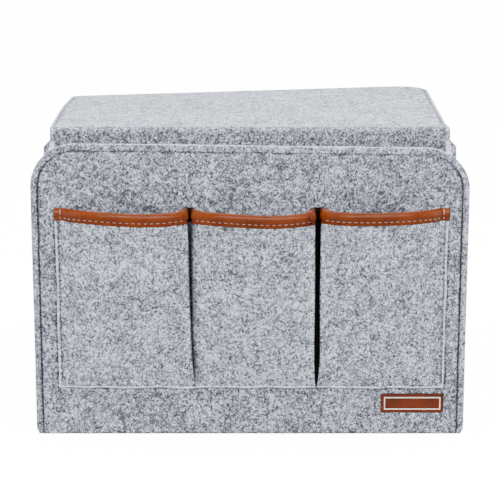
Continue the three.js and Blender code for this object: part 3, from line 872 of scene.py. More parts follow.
# %% Measures of the two pleats
middle_low, middle_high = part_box("middle_pocket")
slot_heights = [v * mm for v in (0, 5, 11, 17.5, 24, 54, 77, 133, 138)]
left_pleat = {
    "x": (left_high.x + middle_low.x) / 2,
    "slots": [v * mm for v in (0.2, 0.36, 0.45, 0.54, 0.6, 0.7, 0.95, 1.15, 1.7)],
    "drifts": [v * mm for v in (2.5, 2.3, 1.9, 1.5, 1.1, 0.2, -0.2, -0.7, -0.7)],
    "shares": {-1: 0.4, 1: 0.375}, "low_wall": 0.6 * mm,
    "fades": {-1: 1.5 * mm, 1: 4.0 * mm}, "lifts": {-1: 0.6, 1: 0.15}, "deepest": 0.9,
    "rims": {-1: 0.25, 1: 0.0}, "ears": {-1: 1.0, 1: 0.3},
}
right_pleat = {
    "x": (middle_high.x + right_low.x) / 2,
    "slots": [v * mm for v in (0.35, 0.85, 1.3, 1.7, 2.05, 1.95, 1.7, 2.1, 2.6)],
    "drifts": [v * mm for v in (0.0, 0.1, 0.2, 0.4, 0.55, 0.4, 0.2, 0.2, 0.1)],
    "shares": {-1: 0.55, 1: 0.375}, "low_wall": 2.6 * mm,
    "fades": {-1: 0.8 * mm, 1: 1.0 * mm}, "lifts": {-1: 0.6, 1: 0.6}, "deepest": 1.0,
    "rims": {-1: 0.75, 1: 0.3}, "ears": {-1: 1.0, 1: 1.0},
}
pleats = [left_pleat, right_pleat]
for pleat in pleats:
    pleat["mouth_slot"] = pleat["slots"][-1]
mouth_stops = [pocket_ends[0], left_pleat["x"], right_pleat["x"], pocket_ends[1]]
print("pleats at %.0f and %.0f mm" % (1000 * left_pleat["x"], 1000 * right_pleat["x"]))

# %% Sizes of the pocket strip
strip_felt = 3 * mm
hem = 6 * mm
bulge = 21 * mm
least_full = 0.012
hem_rise, face_rise, folded_reach = 20 * mm, 18 * mm, 12 * mm
drift_reach = 15 * mm
corner_radius, foot_radius = 2.8 * mm, 0.9 * mm
panel_gap = 0.3 * mm
face_base = front_low.y - panel_gap - strip_felt
stitch_in = 3.1 * mm
hem_loops = [v * mm for v in (0, 0.7, 1.9, 2.6, 3.1, 3.6, 4.6)]
face_cells = 18
print("each pocket swells up to %.0f mm" % (1000 * bulge))

# %% Heights and widths of a pleat
def fullness_at(up):
    """How far a pocket bulges at a height, from 0 to 1; it flares a little at the mouth."""
    rise = min(1.0, max(0.0, (up * pocket_height - hem) / (pocket_height - hem)))
    return max(least_full, 0.82 * math.sin(rise * math.pi / 2) ** 0.6 + 0.18 * rise**10)


def wall_height(pleat, toward, up):
    """How far the wall on one side of a pleat stands off the panel at a height."""
    folded = pleat["low_wall"] * ease(up * pocket_height, 0, 5 * mm)
    return max(bulge * fullness_at(up) * pleat["shares"][toward], folded)


def slot_width(pleat, up):
    """Half of the slot's width at a height."""
    return between(up * pocket_height, slot_heights, pleat["slots"])


def drift(x, row):
    """How far a pleat wanders sideways at a height; it takes the felt beside it along."""
    total = 0.0
    for pleat in pleats:
        total += between(row, slot_heights, pleat["drifts"]) * bell(x - pleat["x"], drift_reach)
    return total


# %% One section across the pocket strip
quarter = [math.pi / 2 * k / 4 for k in range(5)]
into_face = [math.radians(70) * k / 4 for k in range(5)]


def pleat_points(pleat, toward, up):
    """Points (x, depth) from a pleat's seam up its wall to where the pocket's face starts."""
    wall, slot = wall_height(pleat, toward, up), slot_width(pleat, up)
    foot = min(foot_radius, 0.3 * wall, 0.8 * slot)
    corner = min(corner_radius, 0.5 * wall)
    points = [(0.0, 0.0), (0.5 * (slot - foot), 0.0)]
    points += [(slot - foot + foot * math.sin(a), foot - foot * math.cos(a)) for a in quarter[::2]]
    points += [(slot, foot + (wall - corner - foot) * share) for share in (0.33, 0.67)]
    for a in into_face:
        points.append((slot + corner - corner * math.cos(a), wall - corner + corner * math.sin(a)))
    return [(pleat["x"] + toward * x, depth) for x, depth in points]


def side_rise(distance, pleat, toward):
    """How full the face is at a distance from its side: a hem starts flat, a pleat at its wall."""
    if pleat is None:
        return 1 - math.exp(-distance / hem_rise)
    return 1 - (1 - pleat["shares"][toward]) * math.exp(-distance / face_rise)


def folded_rise(distance, pleat, toward, up):
    """The step that the folded layers of a pleat make beside it, where the pocket is still flat."""
    if pleat is None:
        return 0.0
    step_up = wall_height(pleat, toward, up) - bulge * fullness_at(up) * pleat["shares"][toward]
    return max(0.0, step_up) * math.exp(-distance / folded_reach)


def face_points(left, right, pleat_before, pleat_after, up):
    """Points (x, depth) across a pocket's face; a hem side has no pleat and starts flat."""
    points = []
    for k in range(1, face_cells):
        x = left + (right - left) * k / face_cells
        rise = side_rise(x - left, pleat_before, 1) * side_rise(right - x, pleat_after, -1)
        step_up = folded_rise(x - left, pleat_before, 1, up) + folded_rise(right - x, pleat_after, -1, up)
        points.append((x, bulge * fullness_at(up) * rise + step_up))
    return points


def section(up):
    """Points (x, depth) along the whole strip at a height, from its left edge to its right."""
    first, last = pocket_ends
    points = [(first + loop, 0.0) for loop in hem_loops] + [(first + hem, 0.0)]
    edge, edge_pleat = first + hem, None
    for pleat in pleats:
        before, after = pleat_points(pleat, -1, up), pleat_points(pleat, 1, up)
        points += face_points(edge, before[-1][0], edge_pleat, pleat, up) + before[::-1] + after[1:]
        edge, edge_pleat = after[-1][0], pleat
    points += face_points(edge, last - hem, edge_pleat, None, up)
    return points + [(last - hem, 0.0)] + [(last - loop, 0.0) for loop in reversed(hem_loops)]


print("one section has", len(section(1.0)), "points")

# %% Rows of the pocket strip
pocket_rows = [v * mm for v in (0, 0.7, 1.9, 2.6, 3.1, 3.6, 4.6, 6, 7, 8.5, 10.5, 13, 16, 20)]
pocket_rows += spread(25 * mm, pocket_height - 12 * mm, 5.5 * mm)
pocket_rows += [pocket_height - v * mm for v in (12, 10, 8, 6, 4, 2, 0.8, 0)]
sections = {row: section(row / pocket_height) for row in pocket_rows}
pocket_columns = list(range(len(sections[0.0])))
print("the pocket strip has %d by %d loops" % (len(pocket_rows), len(pocket_columns)))

# %% Shape of the mouth
mouth_sags = [(0.0, 0.75 * mm), (1.25 * mm, 0.65 * mm), (-0.45 * mm, -0.25 * mm)]
ear_height, ear_width = 1.1 * mm, 3 * mm
binding_deep = 10 * mm
leather_room = 1.4 * mm


def mouth_pinch(x):
    """How far a pleat's fold pushes the mouth up, from 0 to 1."""
    highest = 0.0
    for pleat in pleats:
        beyond = abs(x - pleat["x"]) - pleat["mouth_slot"] - corner_radius / 2
        right = ease(x - pleat["x"], -pleat["mouth_slot"], pleat["mouth_slot"])
        ear = (1 - right) * pleat["ears"][-1] + right * pleat["ears"][1]
        highest = max(highest, ear * bell(beyond, ear_width))
    return highest


def mouth_sag(x):
    """How far the mouth hangs down; each pocket sags evenly by one amount and sideways by another."""
    for start, end, (even, sideways) in zip(mouth_stops, mouth_stops[1:], mouth_sags):
        if start <= x <= end:
            turn = math.pi * (x - start) / (end - start)
            return even * math.sin(turn) - sideways * math.sin(2 * turn)
    return 0.0


def leather_lift(row):
    """How far the felt stands off the panel, to leave room for the leather behind it."""
    return leather_room * min(1.0, max(0.0, 2 - (pocket_height - row) / binding_deep))


print("the binding takes the upper %.0f mm" % (1000 * binding_deep))


# %% Place of a point of the pocket strip
def pressed_by_leather(row):
    """How far the felt under the leather is pressed in."""
    return 0.55 * mm * ease(row, pocket_height - 9.2 * mm, pocket_height - 7.8 * mm)


def pocket_place(column, row):
    x, depth = sections[row][column]
    up = row / pocket_height
    side = min(x - pocket_ends[0], pocket_ends[1] - x)
    z = pocket_low + row - up * mouth_sag(x) + ear_height * mouth_pinch(x) * up**12
    z += hem_raise * (1 - ease(row, 0, 25 * mm))
    soft = min(1.0, depth / (6 * mm)) * (1 - up**6)
    waves = wave(Vector((x, 0.4, z)), 38 * mm, 0.7 * mm) * soft
    z += hem_lift(x) * (1 - ease(row, 0, 9 * mm))
    x += side_shift(x, z) * (1 - ease(side, 0, 9 * mm)) + drift(x, row)
    return Vector((x, face_base - leather_lift(row) + pressed_by_leather(row) - depth - waves, z))


# %% Marks of the pocket strip
slot_rim, slot_open = 0.1 * mm, (0.15 * mm, 0.5 * mm)
rim_beyond, rim_width = 1.5 * mm, 1.1 * mm
groove_depth, side_crease, hem_crease = 0.34, 0.6, 0.1


def nearest_pleat(x):
    """The pleat nearest a place, and on which side of it the place is."""
    pleat = min(pleats, key=lambda p: abs(x - p["x"]))
    return pleat, 1 if x > pleat["x"] else -1


def slot_shade(x, depth, up):
    """How much painted shade a point gets for lying in a pleat, from 0 to 1."""
    pleat, toward = nearest_pleat(x)
    slot, wall = slot_width(pleat, up), wall_height(pleat, toward, up)
    inside = 1 - ease(abs(x - pleat["x"]), slot + slot_rim, slot + pleat["fades"][toward])
    lifted = 1 - pleat["lifts"][toward] * ease(depth, 0.45 * wall, wall)
    return pleat["deepest"] * inside * lifted * ease(slot, *slot_open)


def fold_rim(x, up):
    """How much painted highlight the edge beside a pleat gets, from 0 to 1."""
    pleat, toward = nearest_pleat(x)
    beyond = abs(x - pleat["x"]) - slot_width(pleat, up)
    return pleat["rims"][toward] * bell(beyond - rim_beyond, rim_width) * ease(up, 0, 0.1)


def pocket_notes(column, row):
    """The felt's thickness share, paleness and painted shade at a point of the pocket strip."""
    x, depth = sections[row][column]
    up = row / pocket_height
    side = min(x - pocket_ends[0], pocket_ends[1] - x)
    nearest = min(side, row)
    line = bell(nearest - stitch_in, 0.6 * mm)
    pressed = 0.14 * math.exp(-nearest / (0.9 * mm))
    under_leather = 0.34 * ease(row, pocket_height - binding_deep, pocket_height - 8 * mm)
    # The lip along the strip's edges is paler, partly its cut edge and partly a painted highlight, and the
    # edge beside a pleat gets a painted highlight.
    pale = max(1.8 * (1 - ease(nearest, 0.9 * mm, 1.7 * mm)), fold_rim(x, up))
    # The seam grooves get painted shade, more at the sides than at the hem, and a thin painted shadow
    # outlines the strip where it lies on the front.
    groove = side_crease if side < row else hem_crease
    outline = 0.6 if nearest < 0.3 * mm else 0.0
    crease = max(groove * line, outline, slot_shade(x, depth, up))
    return 1 - groove_depth * line - pressed - under_leather, pale, crease


print("seam lines lie %.1f mm in from the edges" % (1000 * stitch_in))

# %% Build the pocket strip
pocket_bm = sheet_grid(pocket_columns, pocket_rows, pocket_place, pocket_notes)
faces_toward(pocket_bm, Vector((0, face_base - 15 * mm, 120 * mm)), Vector((0, -1, 0)))
pocket_strip = thicken(pocket_bm, "pocket_strip", pocket_felt, strip_felt, round_off=0.5 * mm)
shade_where_dark(pocket_strip, limit=0.93)
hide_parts("left_pocket", "middle_pocket", "right_pocket")
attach(pocket_strip, "pouch")

# %% [markdown]
# ## Leather binding
# A strip of leather is folded over the pockets' mouth and sewn through close to its lower edge. The
# stitches pull a groove, so the leather above it stands up as a soft roll, and that roll gives the
# binding its long highlight. The binding runs into each pleat with the felt. Its section is swept
# along the mouth, and it lies flatter at its two ends, where a cross stitch ties it down.

# %% Binding section
binding_profile = [
    (1.75, -8.0), (2.0, -7.8), (2.12, -7.2), (2.0, -6.4), (1.62, -5.8), (1.62, -5.4), (2.2, -4.8),
    (2.75, -4.1), (2.95, -3.3), (2.8, -2.3), (2.47, -1.3), (2.07, -0.4), (1.6, 0.4), (0.95, 1.2),
    (0.2, 1.75), (-0.6, 1.9), (-1.5, 1.5), (-2.1, 0.7), (-2.35, -0.9), (-2.3, -3.3), (-2.0, -5.6),
    (-2.1, -7.3), (-1.8, -7.8),
]
binding_profile = [(out * mm, up * mm) for out, up in binding_profile]
stitch_up = -5.5 * mm
cross_stitch_in = 4.8 * mm
print("the binding's section has", len(binding_profile), "points")


# %% Path of the binding
def strip_middle(height):
    """Places in the middle of the felt across the strip at a height, with outward directions."""
    cut = section(height / pocket_height)
    line = []
    for k, (x, depth) in enumerate(cut):
        before, after = cut[max(k - 1, 0)], cut[min(k + 1, len(cut) - 1)]
        along = Vector((after[0] - before[0], before[1] - after[1], 0)).normalized()
        out = Vector((along.y, -along.x, 0))
        y = face_base - leather_lift(height) - depth
        z = pocket_low + height - mouth_sag(x)
        line.append((Vector((x + drift(x, height), y, z)) - out * strip_felt / 2, out, x))
    return line


lower_by = 9 * mm
lower_line = strip_middle(pocket_height - lower_by)
binding_line = []
for (place, out, x), (lower, _, _) in zip(strip_middle(pocket_height), lower_line):
    binding_line.append((place, out, x, (place - lower) / lower_by))
print("the binding's path has", len(binding_line), "points")

# %% Place and marks of the binding
end_roll, tied_flat, slot_flat, ear_full = 0.74, 0.18, 0.3, 0.2
binding_ear = 1.3 * mm
binding_dark = 0.93


def in_slot(x):
    """How deep in a pleat's slot a place along the mouth is, from 0 to 1."""
    beyond = [(x - p["x"]) / (p["mouth_slot"] + 0.4 * mm) for p in pleats]
    return min(1.0, sum(math.exp(-(share**4)) for share in beyond))


def binding_place(column, row):
    place, out, x, lean = binding_line[column]
    stand, up = binding_profile[row]
    side = min(x - pocket_ends[0], pocket_ends[1] - x)
    roll = end_roll + (1 - end_roll) * ease(side, cross_stitch_in, cross_stitch_in + 6 * mm)
    roll -= tied_flat * bell(side - cross_stitch_in, 0.7 * mm)
    roll *= (1 - slot_flat * in_slot(x)) * (1 + ear_full * mouth_pinch(x))
    up *= 1 + 0.07 * ease(side, cross_stitch_in, 40 * mm)
    height = binding_ear * mouth_pinch(x) * ease(up, -5 * mm, -1 * mm)
    return place + out * stand * roll + lean * up + Vector((0, 0, height))


def binding_notes(column, row):
    x = binding_line[column][2]
    stand, up = binding_profile[row]
    # A paler tone along the roll's upper part is a painted highlight.
    painted_highlight = bell(up + 0.4 * mm, 1.5 * mm) if stand > 0 else 0.0
    # The leather deep in a slot gets painted shade.
    return 1.0, -0.6 * painted_highlight, binding_dark * in_slot(x) ** 2


print("the binding stands %.1f mm higher at a pleat's ear" % (1000 * binding_ear))

# %% Build the binding
profile_rows = list(range(len(binding_profile)))
binding_columns = list(range(len(binding_line)))
binding_bm = sheet_grid(binding_columns, profile_rows, binding_place, binding_notes)
faces_toward(binding_bm, binding_line[20][0] + Vector((0, -3 * mm, -3 * mm)), Vector((0, -1, 0)))
leather_thick = 1.0 * mm
pocket_binding = thicken(
    binding_bm, "pocket_binding", binding_leather, leather_thick, round_off=0.25 * mm,
)
shade_where_dark(pocket_binding, limit=0.7)
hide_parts("left_binding", "middle_binding", "right_binding")
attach(pocket_binding, "pouch")

# %% [markdown]
# ## Pockets inside
# Two plain pockets hang on the inside of the back panel: one wide, one narrow, sewn down at the sides,
# along the bottom and between them. They are one flat sheet with a raw upper edge.

# %% Loops of the inner pockets
wide_low, wide_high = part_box("inner_wide_pocket")
narrow_low, narrow_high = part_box("inner_narrow_pocket")
divider = (wide_high.x + narrow_low.x) / 2
inner_ends = [wide_low.x, narrow_high.x]
inner_height = wide_high.z - wide_low.z
inner_loops = [v * mm for v in (0, 0.7, 1.4, 2.0, 2.6, 3.4, 6)]
inner_columns = [inner_ends[0] + loop for loop in inner_loops]
inner_columns += spread(inner_ends[0] + 9 * mm, divider - 8 * mm, 6 * mm)
inner_columns += [divider + v * mm for v in (-8, -5, -3, -1.2, -0.6, 0, 0.6, 1.2, 3, 5)]
inner_columns += spread(divider + 8 * mm, inner_ends[1] - 9 * mm, 6 * mm)
inner_columns += [inner_ends[1] - 9 * mm] + [inner_ends[1] - loop for loop in reversed(inner_loops)]
inner_rows = inner_loops + spread(8 * mm, inner_height - 3 * mm, 6 * mm)
inner_rows += [inner_height - v * mm for v in (3, 0.7, 0)]
print("the inner pockets have %d by %d loops" % (len(inner_rows), len(inner_columns)))

# %% Inner pockets
inner_base = back_low.y - panel_gap - strip_felt
inner_bulge, inner_rise, inner_sag = 16 * mm, 12 * mm, 1.5 * mm
inner_in, inner_groove = 2 * mm, 0.6 * mm


def inner_place(x, row):
    rise = min(1.0, max(0.0, (row - hem) / (inner_height - hem)))
    full = math.sin(rise * math.pi / 2) ** 0.6
    sides = [x - inner_ends[0] - hem, inner_ends[1] - x - hem, abs(x - divider) - hem / 2]
    for side in sides:
        full *= 1 - math.exp(-max(side, 0) / inner_rise)
    sag = inner_sag * row / inner_height * full
    return Vector((x, inner_base - inner_bulge * full, wide_low.z + row - sag))


def inner_notes(x, row):
    nearest = min(x - inner_ends[0], inner_ends[1] - x, row)
    line = bell(nearest - inner_in, inner_groove) + bell(x - divider, inner_groove)
    # The seam lines are pressed in and get painted shade.
    return 1 - 0.3 * line, 0.0, 0.4 * line


inner_bm = sheet_grid(inner_columns, inner_rows, inner_place, inner_notes)
faces_toward(inner_bm, Vector((-60 * mm, inner_base - 10 * mm, 120 * mm)), Vector((0, -1, 0)))
inner_pockets = thicken(inner_bm, "inner_pockets", felt, strip_felt, round_off=0.5 * mm)
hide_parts("inner_wide_pocket", "inner_narrow_pocket")
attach(inner_pockets, "pouch")

# %% [markdown]
# ## Label
# The label is a small patch of darker leather with a thin printed frame line, and nothing inside the
# frame. The patch is a rectangle with clipped corners, drawn up into a plate whose face edge is
# rolled, and the frame is the measured model's own ring with a print finish.

# %% Label patch
label_low, label_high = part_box("label")
label_size = label_high - label_low
label_clip, label_roll, rub_reach = 0.9 * mm, 0.3 * mm, 0.5 * mm
label_bm = bmesh.new()
edge_layer = label_bm.verts.layers.float.new("cut_edge_and_highlight")
label_place = Matrix.Translation((label_low + label_high) / 2)
bmesh.ops.create_cube(label_bm, size=1, matrix=label_place @ Matrix.Diagonal((*label_size, 1)))
upright = [e for e in label_bm.edges if abs(e.verts[0].co.y - e.verts[1].co.y) > 0.5 * mm]
bmesh.ops.bevel(
    label_bm, geom=upright, offset=label_clip, offset_type="OFFSET", segments=3,
    profile=0.5, affect="EDGES", material=-1,
)
face = min(label_bm.faces, key=lambda f: f.calc_center_median().y)
bmesh.ops.inset_region(label_bm, faces=[face], thickness=rub_reach, depth=0)
for vertex in label_bm.verts:
    from_side = min(vertex.co.x - label_low.x, label_high.x - vertex.co.x)
    from_end = min(vertex.co.z - label_low.z, label_high.z - vertex.co.z)
    vertex[edge_layer] = 0.0 if min(from_side, from_end) > 0.3 * mm else 1.0
rim = []
for edge in label_bm.edges:
    if all(abs(v.co.y - label_low.y) < touching and v[edge_layer] for v in edge.verts):
        rim.append(edge)
bmesh.ops.bevel(
    label_bm, geom=rim, offset=label_roll, offset_type="OFFSET", segments=2,
    profile=0.5, affect="EDGES", material=-1,
)
label_patch = remember_rest_place(new_piece(label_bm, "label_patch", label_leather))
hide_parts("label")
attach(label_patch, "pouch")
print("label is %.0f by %.1f mm" % (1000 * label_size.x, 1000 * label_size.z))

# %% Printed frame line
print_finish, print_tree, print_shader = new_material("label_print", 0.6)
print_place = add_node(print_tree, "TexCoord").outputs["Object"]
rub_size = 0.8 * mm
rub_inputs = {"Vector": print_place, "Scale": 1 / rub_size, "Detail": 3.0}
rub = add_node(print_tree, "TexNoise", rub_inputs).outputs["Fac"]
rub_share = remap(print_tree, rub, 0.25, 0.5)
print_color = mix_colors(print_tree, rub_share, (0.5, 0.4, 0.33), (0.85, 0.82, 0.76))
print_tree.links.new(print_color, print_shader.inputs["Base Color"])
frame_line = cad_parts["label_frame"]
frame_line.data.materials.clear()
frame_line.data.materials.append(print_finish)
print("the frame line has", print_finish.name)

# %% [markdown]
# ## Stitches
# Each stitch is its own short piece of thread, pressed into the felt or leather that it holds. One
# capsule with a few dozen faces is laid again and again along a seam. A ray finds the surface under
# each one, so the rows follow the waves and the grooves of the real meshes.

# %% Stitch helpers
ply_length = 0.45 * mm


def lay_stitch(bm, ply_layer, place, along, out, length, width):
    """Adds one stitch: a capsule at a place, laid along one direction, with `out` as its top."""
    ends = max(0.0, length - width) / 2
    made = bmesh.ops.create_uvsphere(bm, u_segments=6, v_segments=5, radius=width / 2)["verts"]
    for vertex in made:
        angle = math.atan2(vertex.co.y, vertex.co.x)
        vertex.co.z += ends if vertex.co.z > 0 else -ends
        vertex[ply_layer] = Vector((vertex.co.z / ply_length + angle / math.pi, 0, 0))
    side = along.cross(out).normalized()
    turn = Matrix((side, out, along)).transposed().to_4x4()
    bmesh.ops.transform(bm, matrix=Matrix.Translation(place) @ turn, verts=made)


def stops_along(path, pitch, first=0.5):
    """Even stops along a line of points, as (point, direction); the first is this share of a pitch in."""
    lengths = [(b - a).length for a, b in zip(path, path[1:])]
    count = max(1, round(sum(lengths) / pitch))
    stops = []
    for k in range(count):
        left = (k + first) * sum(lengths) / count
        if left > sum(lengths) - 0.25 * pitch:
            break
        for a, b, run in zip(path, path[1:], lengths):
            if left <= run + 1e-9:
                stops.append((a.lerp(b, left / run), (b - a).normalized()))
                break
            left -= run
    return stops


def sew(
    bm, path, surface, toward,
    pitch=3.4 * mm, length=2.5 * mm, width=0.8 * mm, sink=0.15 * mm, first=0.5,
):
    """Lays stitches along a path, each on the surface that a ray in the direction `toward` meets."""
    ply_layer = bm.verts.layers.float_vector.get("ply") or bm.verts.layers.float_vector.new("ply")
    reach = 30 * mm
    laid = 0
    for point, along in stops_along(path, pitch, first):
        hit, normal, _, _ = surface.ray_cast(point - toward * reach, toward, 2 * reach)
        if hit is None:
            continue
        if normal.dot(toward) > 0:
            normal = -normal
        flat = (along - normal * along.dot(normal)).normalized()
        lay_stitch(bm, ply_layer, hit - normal * sink, flat, normal, length, width)
        laid += 1
    return laid


def seam(name, material, slot, body, rows, **sizes):
    """One piece of stitches from rows of (path, surface, toward), with sizes of its own where given."""
    bm = bmesh.new()
    laid = sum(sew(bm, *row[:3], **(row[3] if len(row) > 3 else sizes)) for row in rows)
    piece = new_piece(bm, name, material)
    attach(piece, body)
    print(name, "has", laid, "stitches")
    return piece


def arch(half, low, high, left_radius, right_radius, corner_steps=14):
    """A line up the left side, round two corners and down the right side, as (across, up)."""
    turns = [math.pi / 2 * k / corner_steps for k in range(corner_steps + 1)]
    line = [(-half, low)]
    for side, radius, angles in ((-1, left_radius, turns), (1, right_radius, turns[::-1])):
        inner = half - radius
        for a in angles:
            line.append((side * (inner + radius * math.cos(a)), high - radius + radius * math.sin(a)))
    return line + [(half, low)]


strip_surface = surface_of(body_strip)
to_back, to_front = Vector((0, 1, 0)), Vector((0, -1, 0))
to_floor, to_ceiling = Vector((0, 0, -1)), Vector((0, 0, 1))
print("stitch helpers are ready")

# %% Seam round the front
front_corner = block - seam_inset
front_arch = [
    relax_strip(Vector((x, front_low.y, z)), block)
    for x, z in arch(seam_x, seam_low.z, front_high.z - seam_inset, front_corner, front_corner, 20)
]
turn_at = 10
thick_row = {"length": 3.3 * mm, "width": 1.45 * mm, "sink": 0.4 * mm}
top_row = {"width": 0.75 * mm}
front_rows = [
    (front_arch[:turn_at], strip_surface, to_back, thick_row),
    (front_arch[turn_at - 1:1 - turn_at], strip_surface, to_back, top_row),
    (front_arch[-turn_at:], strip_surface, to_back, thick_row),
]
front_seam = seam("front_stitches", grey_thread, "grey_thread", "pouch", front_rows)
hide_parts("front_seam")

# %% Seams of the back and the bottom
back_seam_low, back_seam_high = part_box("left_back_seam")
under_y = (front_low.y + 8 * mm, back_high.y - 8 * mm)
back_rows, under_rows = [], []
for side in (-1, 1):
    ends = [Vector((side * seam_x, back_high.y, z)) for z in (back_seam_low.z, back_seam_high.z)]
    back_rows.append((ends, strip_surface, to_front))
    ends = [Vector((side * seam_x, y, 0)) for y in under_y]
    under_rows.append((ends, strip_surface, to_ceiling))
back_seams = seam("back_stitches", grey_thread, "grey_thread", "pouch", back_rows)
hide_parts("left_back_seam", "right_back_seam")
seam("bottom_stitches", grey_thread, "grey_thread", "pouch", under_rows, sink=0.45 * mm)

# %% Seam of the flap
hem_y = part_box("flap_hem_seam")[0].y
flap_radii = [flap_corners[side] - flap_seam_inset for side in (-1, 1)]
flap_ends = flap_half - flap_seam_inset, hem_y, flap_high.y - flap_seam_inset
flap_arch = [Vector((x, y, flap_high.z)) for x, y in arch(*flap_ends, *flap_radii)]
flap_rows = [(flap_arch, strip_surface, to_floor)]
flap_seam = seam("flap_stitches", grey_thread, "grey_thread", "flap", flap_rows, sink=0.3 * mm)
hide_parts("flap_hem_seam")

# %% Seams of the gussets
seam_tops = {"front": 196 * mm, "back": 206 * mm}
low_z, rim_y = bottom_high.z + gusset_bend, front_high.y + felt_thick
from_fold = 4 * mm
beside_cut = 0.002 * mm  # a ray right on the middle cut would meet either face by chance
gusset_rows = []
for side, gusset in ((-1, left_gusset), (1, right_gusset)):
    surface = surface_of(gusset)
    line_x = side * (gusset_seam_x + beside_cut)
    front_line = [Vector((line_x, rim_y, z)) for z in (low_z + from_fold, seam_tops["front"])]
    back_line = [Vector((line_x, -rim_y, z)) for z in (low_z + from_fold, seam_tops["back"])]
    low_line = [Vector((line_x, y, low_z)) for y in (rim_y + from_fold, -rim_y - from_fold)]
    gusset_rows.append((front_line, surface, to_front))
    gusset_rows.append((back_line, surface, to_back))
    gusset_rows.append((low_line, surface, to_floor))
seam("gusset_stitches", grey_thread, "grey_thread", "pouch", gusset_rows)

# %% Seams of the pocket strip's edges
pocket_surface = surface_of(pocket_strip)
hem_z, side_top = pocket_low + stitch_in, pocket_mouth - 10 * mm
side_xs = (pocket_ends[0] + stitch_in, pocket_ends[1] - stitch_in)
edge_rows = []
for x in side_xs:
    line = [Vector((x, face_base, z)) for z in (hem_z + 2 * mm, side_top)]
    edge_rows.append((line, pocket_surface, to_back))
hem_line = [Vector((x, face_base, hem_z)) for x in side_xs]
edge_rows.append((hem_line, pocket_surface, to_back, {"width": 0.5 * mm}))
pocket_seams = seam("pocket_stitches", grey_thread, "grey_thread", "pouch", edge_rows)
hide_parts("pocket_hem_seam", "left_pocket_seam", "right_pocket_seam")

# %% Seams down the pleats
rows_up = spread(56 * mm, pocket_height - 13 * mm, 10 * mm)
pleat_rows = []
for pleat in pleats:
    line = [Vector((pleat["x"] + drift(pleat["x"], row), face_base, pocket_low + row)) for row in rows_up]
    pleat_rows.append((line, pocket_surface, to_back))
pleat_seams = seam("pleat_stitches", pleat_shade_thread, "grey_thread", "pouch", pleat_rows)
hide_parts("left_pleat_seam", "right_pleat_seam")

# %% Seams of the binding
binding_surface = surface_of(pocket_binding)
binding_pitch = 4.7 * mm
thread_size = {"length": 2.5 * mm, "width": 0.68 * mm, "sink": 0.1 * mm}
hole_size = {"length": 1.5 * mm, "width": 0.6 * mm, "sink": 0.22 * mm}
end_gap, slot_gap = cross_stitch_in + 1 * mm, 1.2 * mm
gaps = [end_gap] + [pleat["mouth_slot"] + slot_gap for pleat in pleats] + [end_gap]
binding_rows = []
for k in range(3):
    low_x, high_x = mouth_stops[k] + gaps[k], mouth_stops[k + 1] - gaps[k + 1]
    line = []
    for place, out, x, lean in binding_line:
        if low_x < x < high_x and out.y < -0.5:
            line.append(place + lean * stitch_up)
    binding_rows.append((line, binding_surface, to_back))
binding_stitches = seam(
    "binding_stitches", white_thread, "white_thread", "pouch", binding_rows,
    pitch=binding_pitch, **thread_size,
)
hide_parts("left_binding_stitch", "middle_binding_stitch", "right_binding_stitch")
# Needle holes with painted shade, between the binding's stitches.
seam(
    "binding_needle_hole_shade", hole_shade_finish, "binding_leather", "pouch", binding_rows,
    pitch=binding_pitch, first=1.0, **hole_size,
)

# %% Cross stitches
cross_size = {"length": 4.2 * mm, "width": 0.8 * mm, "sink": 0.1 * mm}
cross_pitch = 4.75 * mm
cross_ends = (-7.9 * mm, 1.5 * mm)
cross_rows = []
for x in (pocket_ends[0] + cross_stitch_in, pocket_ends[1] - cross_stitch_in):
    line = [Vector((x, face_base, pocket_mouth + up)) for up in cross_ends]
    cross_rows.append((line, binding_surface, to_back))
cross_stitches = seam(
    "cross_stitches", white_thread, "white_thread", "pouch", cross_rows,
    pitch=cross_pitch, **cross_size,
)
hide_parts("left_cross_stitch", "right_cross_stitch")

# %% Seams inside
inner_surface = surface_of(inner_pockets)
inner_low_z, inner_high_z = wide_low.z + inner_in, wide_high.z - inner_in
inner_sides = (inner_ends[0] + inner_in, inner_ends[1] - inner_in)
hem_line = [Vector((x, inner_base, inner_low_z)) for x in inner_sides]
inner_seam_rows = [(hem_line, inner_surface, to_back)]
for x in (inner_sides[0], divider, inner_sides[1]):
    line = [Vector((x, inner_base, z)) for z in (inner_low_z + 2 * mm, inner_high_z)]
    inner_seam_rows.append((line, inner_surface, to_back))
inner_seams = seam("inner_stitches", grey_thread, "grey_thread", "pouch", inner_seam_rows)
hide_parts("inner_hem_seam", "inner_divider_seam")

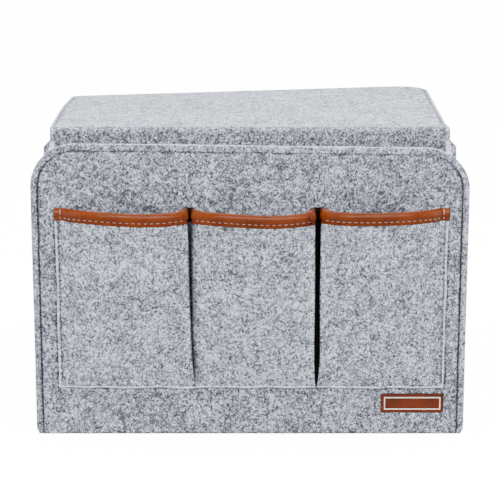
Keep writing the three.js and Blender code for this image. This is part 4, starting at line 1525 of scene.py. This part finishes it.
# %% [markdown]
# ## Floor and light
# A product picture like this one is lit by a big soft light above and weaker ones in front and at the
# sides, on a white sweep. The top of the felt then looks palest, the front a little darker, and the
# slots between the pockets stay nearly black. The floor glows, so that it is as pale as a lit sweep,
# and it is hidden from diffuse and glossy rays, so that it doesn't light the felt from below.

# %% Floor
floor_bm = bmesh.new()
bmesh.ops.create_grid(floor_bm, x_segments=1, y_segments=1, size=3)
floor_finish, _, floor_shader = new_material("floor", 0.9)
floor_shader.inputs["Base Color"].default_value = (0.9, 0.9, 0.9, 1)
floor_shader.inputs["Emission Color"].default_value = (1, 1, 1, 1)
floor_shader.inputs["Emission Strength"].default_value = 14
floor = new_piece(floor_bm, "floor", floor_finish)
floor.visible_diffuse = False
floor.visible_glossy = False
print("the floor is", floor.name)

# %% Room
world = bpy.data.worlds.new("studio")
bpy.context.scene.world = world
world.use_nodes = True
sky = world.node_tree.nodes["Background"]
sky.inputs["Color"].default_value = (1, 1, 1, 1)
direction = add_node(world.node_tree, "TexCoord").outputs["Generated"]
height = add_node(world.node_tree, "SeparateXYZ", {0: direction}).outputs["Z"]
floor_glow, room_glow = 1.4, 1.0
glow = remap(world.node_tree, height, -0.15, 0.15, floor_glow, room_glow)
world.node_tree.links.new(glow, sky.inputs["Strength"])
print("the room glows from %.1f to %.1f" % (floor_glow, room_glow))

# %% Lights
def soft_light(name, place, target, size, watts):
    data = bpy.data.lights.new(name, "AREA")
    data.shape = "RECTANGLE"
    data.size, data.size_y = size
    data.energy = watts
    light = bpy.data.objects.new(name, data)
    light.location = place
    light.rotation_euler = (Vector(target) - Vector(place)).to_track_quat("-Z", "Y").to_euler()
    bpy.context.scene.collection.objects.link(light)


soft_light("top_light", (0, 0.1, 1.4), (0, 0.08, 0.2), (1.5, 0.6), 30)
soft_light("front_light", (0.1, -1.75, 1.05), (0, 0, 0.12), (2.2, 0.25), 44)
soft_light("left_light", (-1.35, -0.45, 0.5), (0, 0, 0.12), (0.6, 1.0), 4)
soft_light("right_light", (1.4, -0.1, 0.5), (0, 0, 0.12), (0.6, 1.0), 4)
print("lights are set")
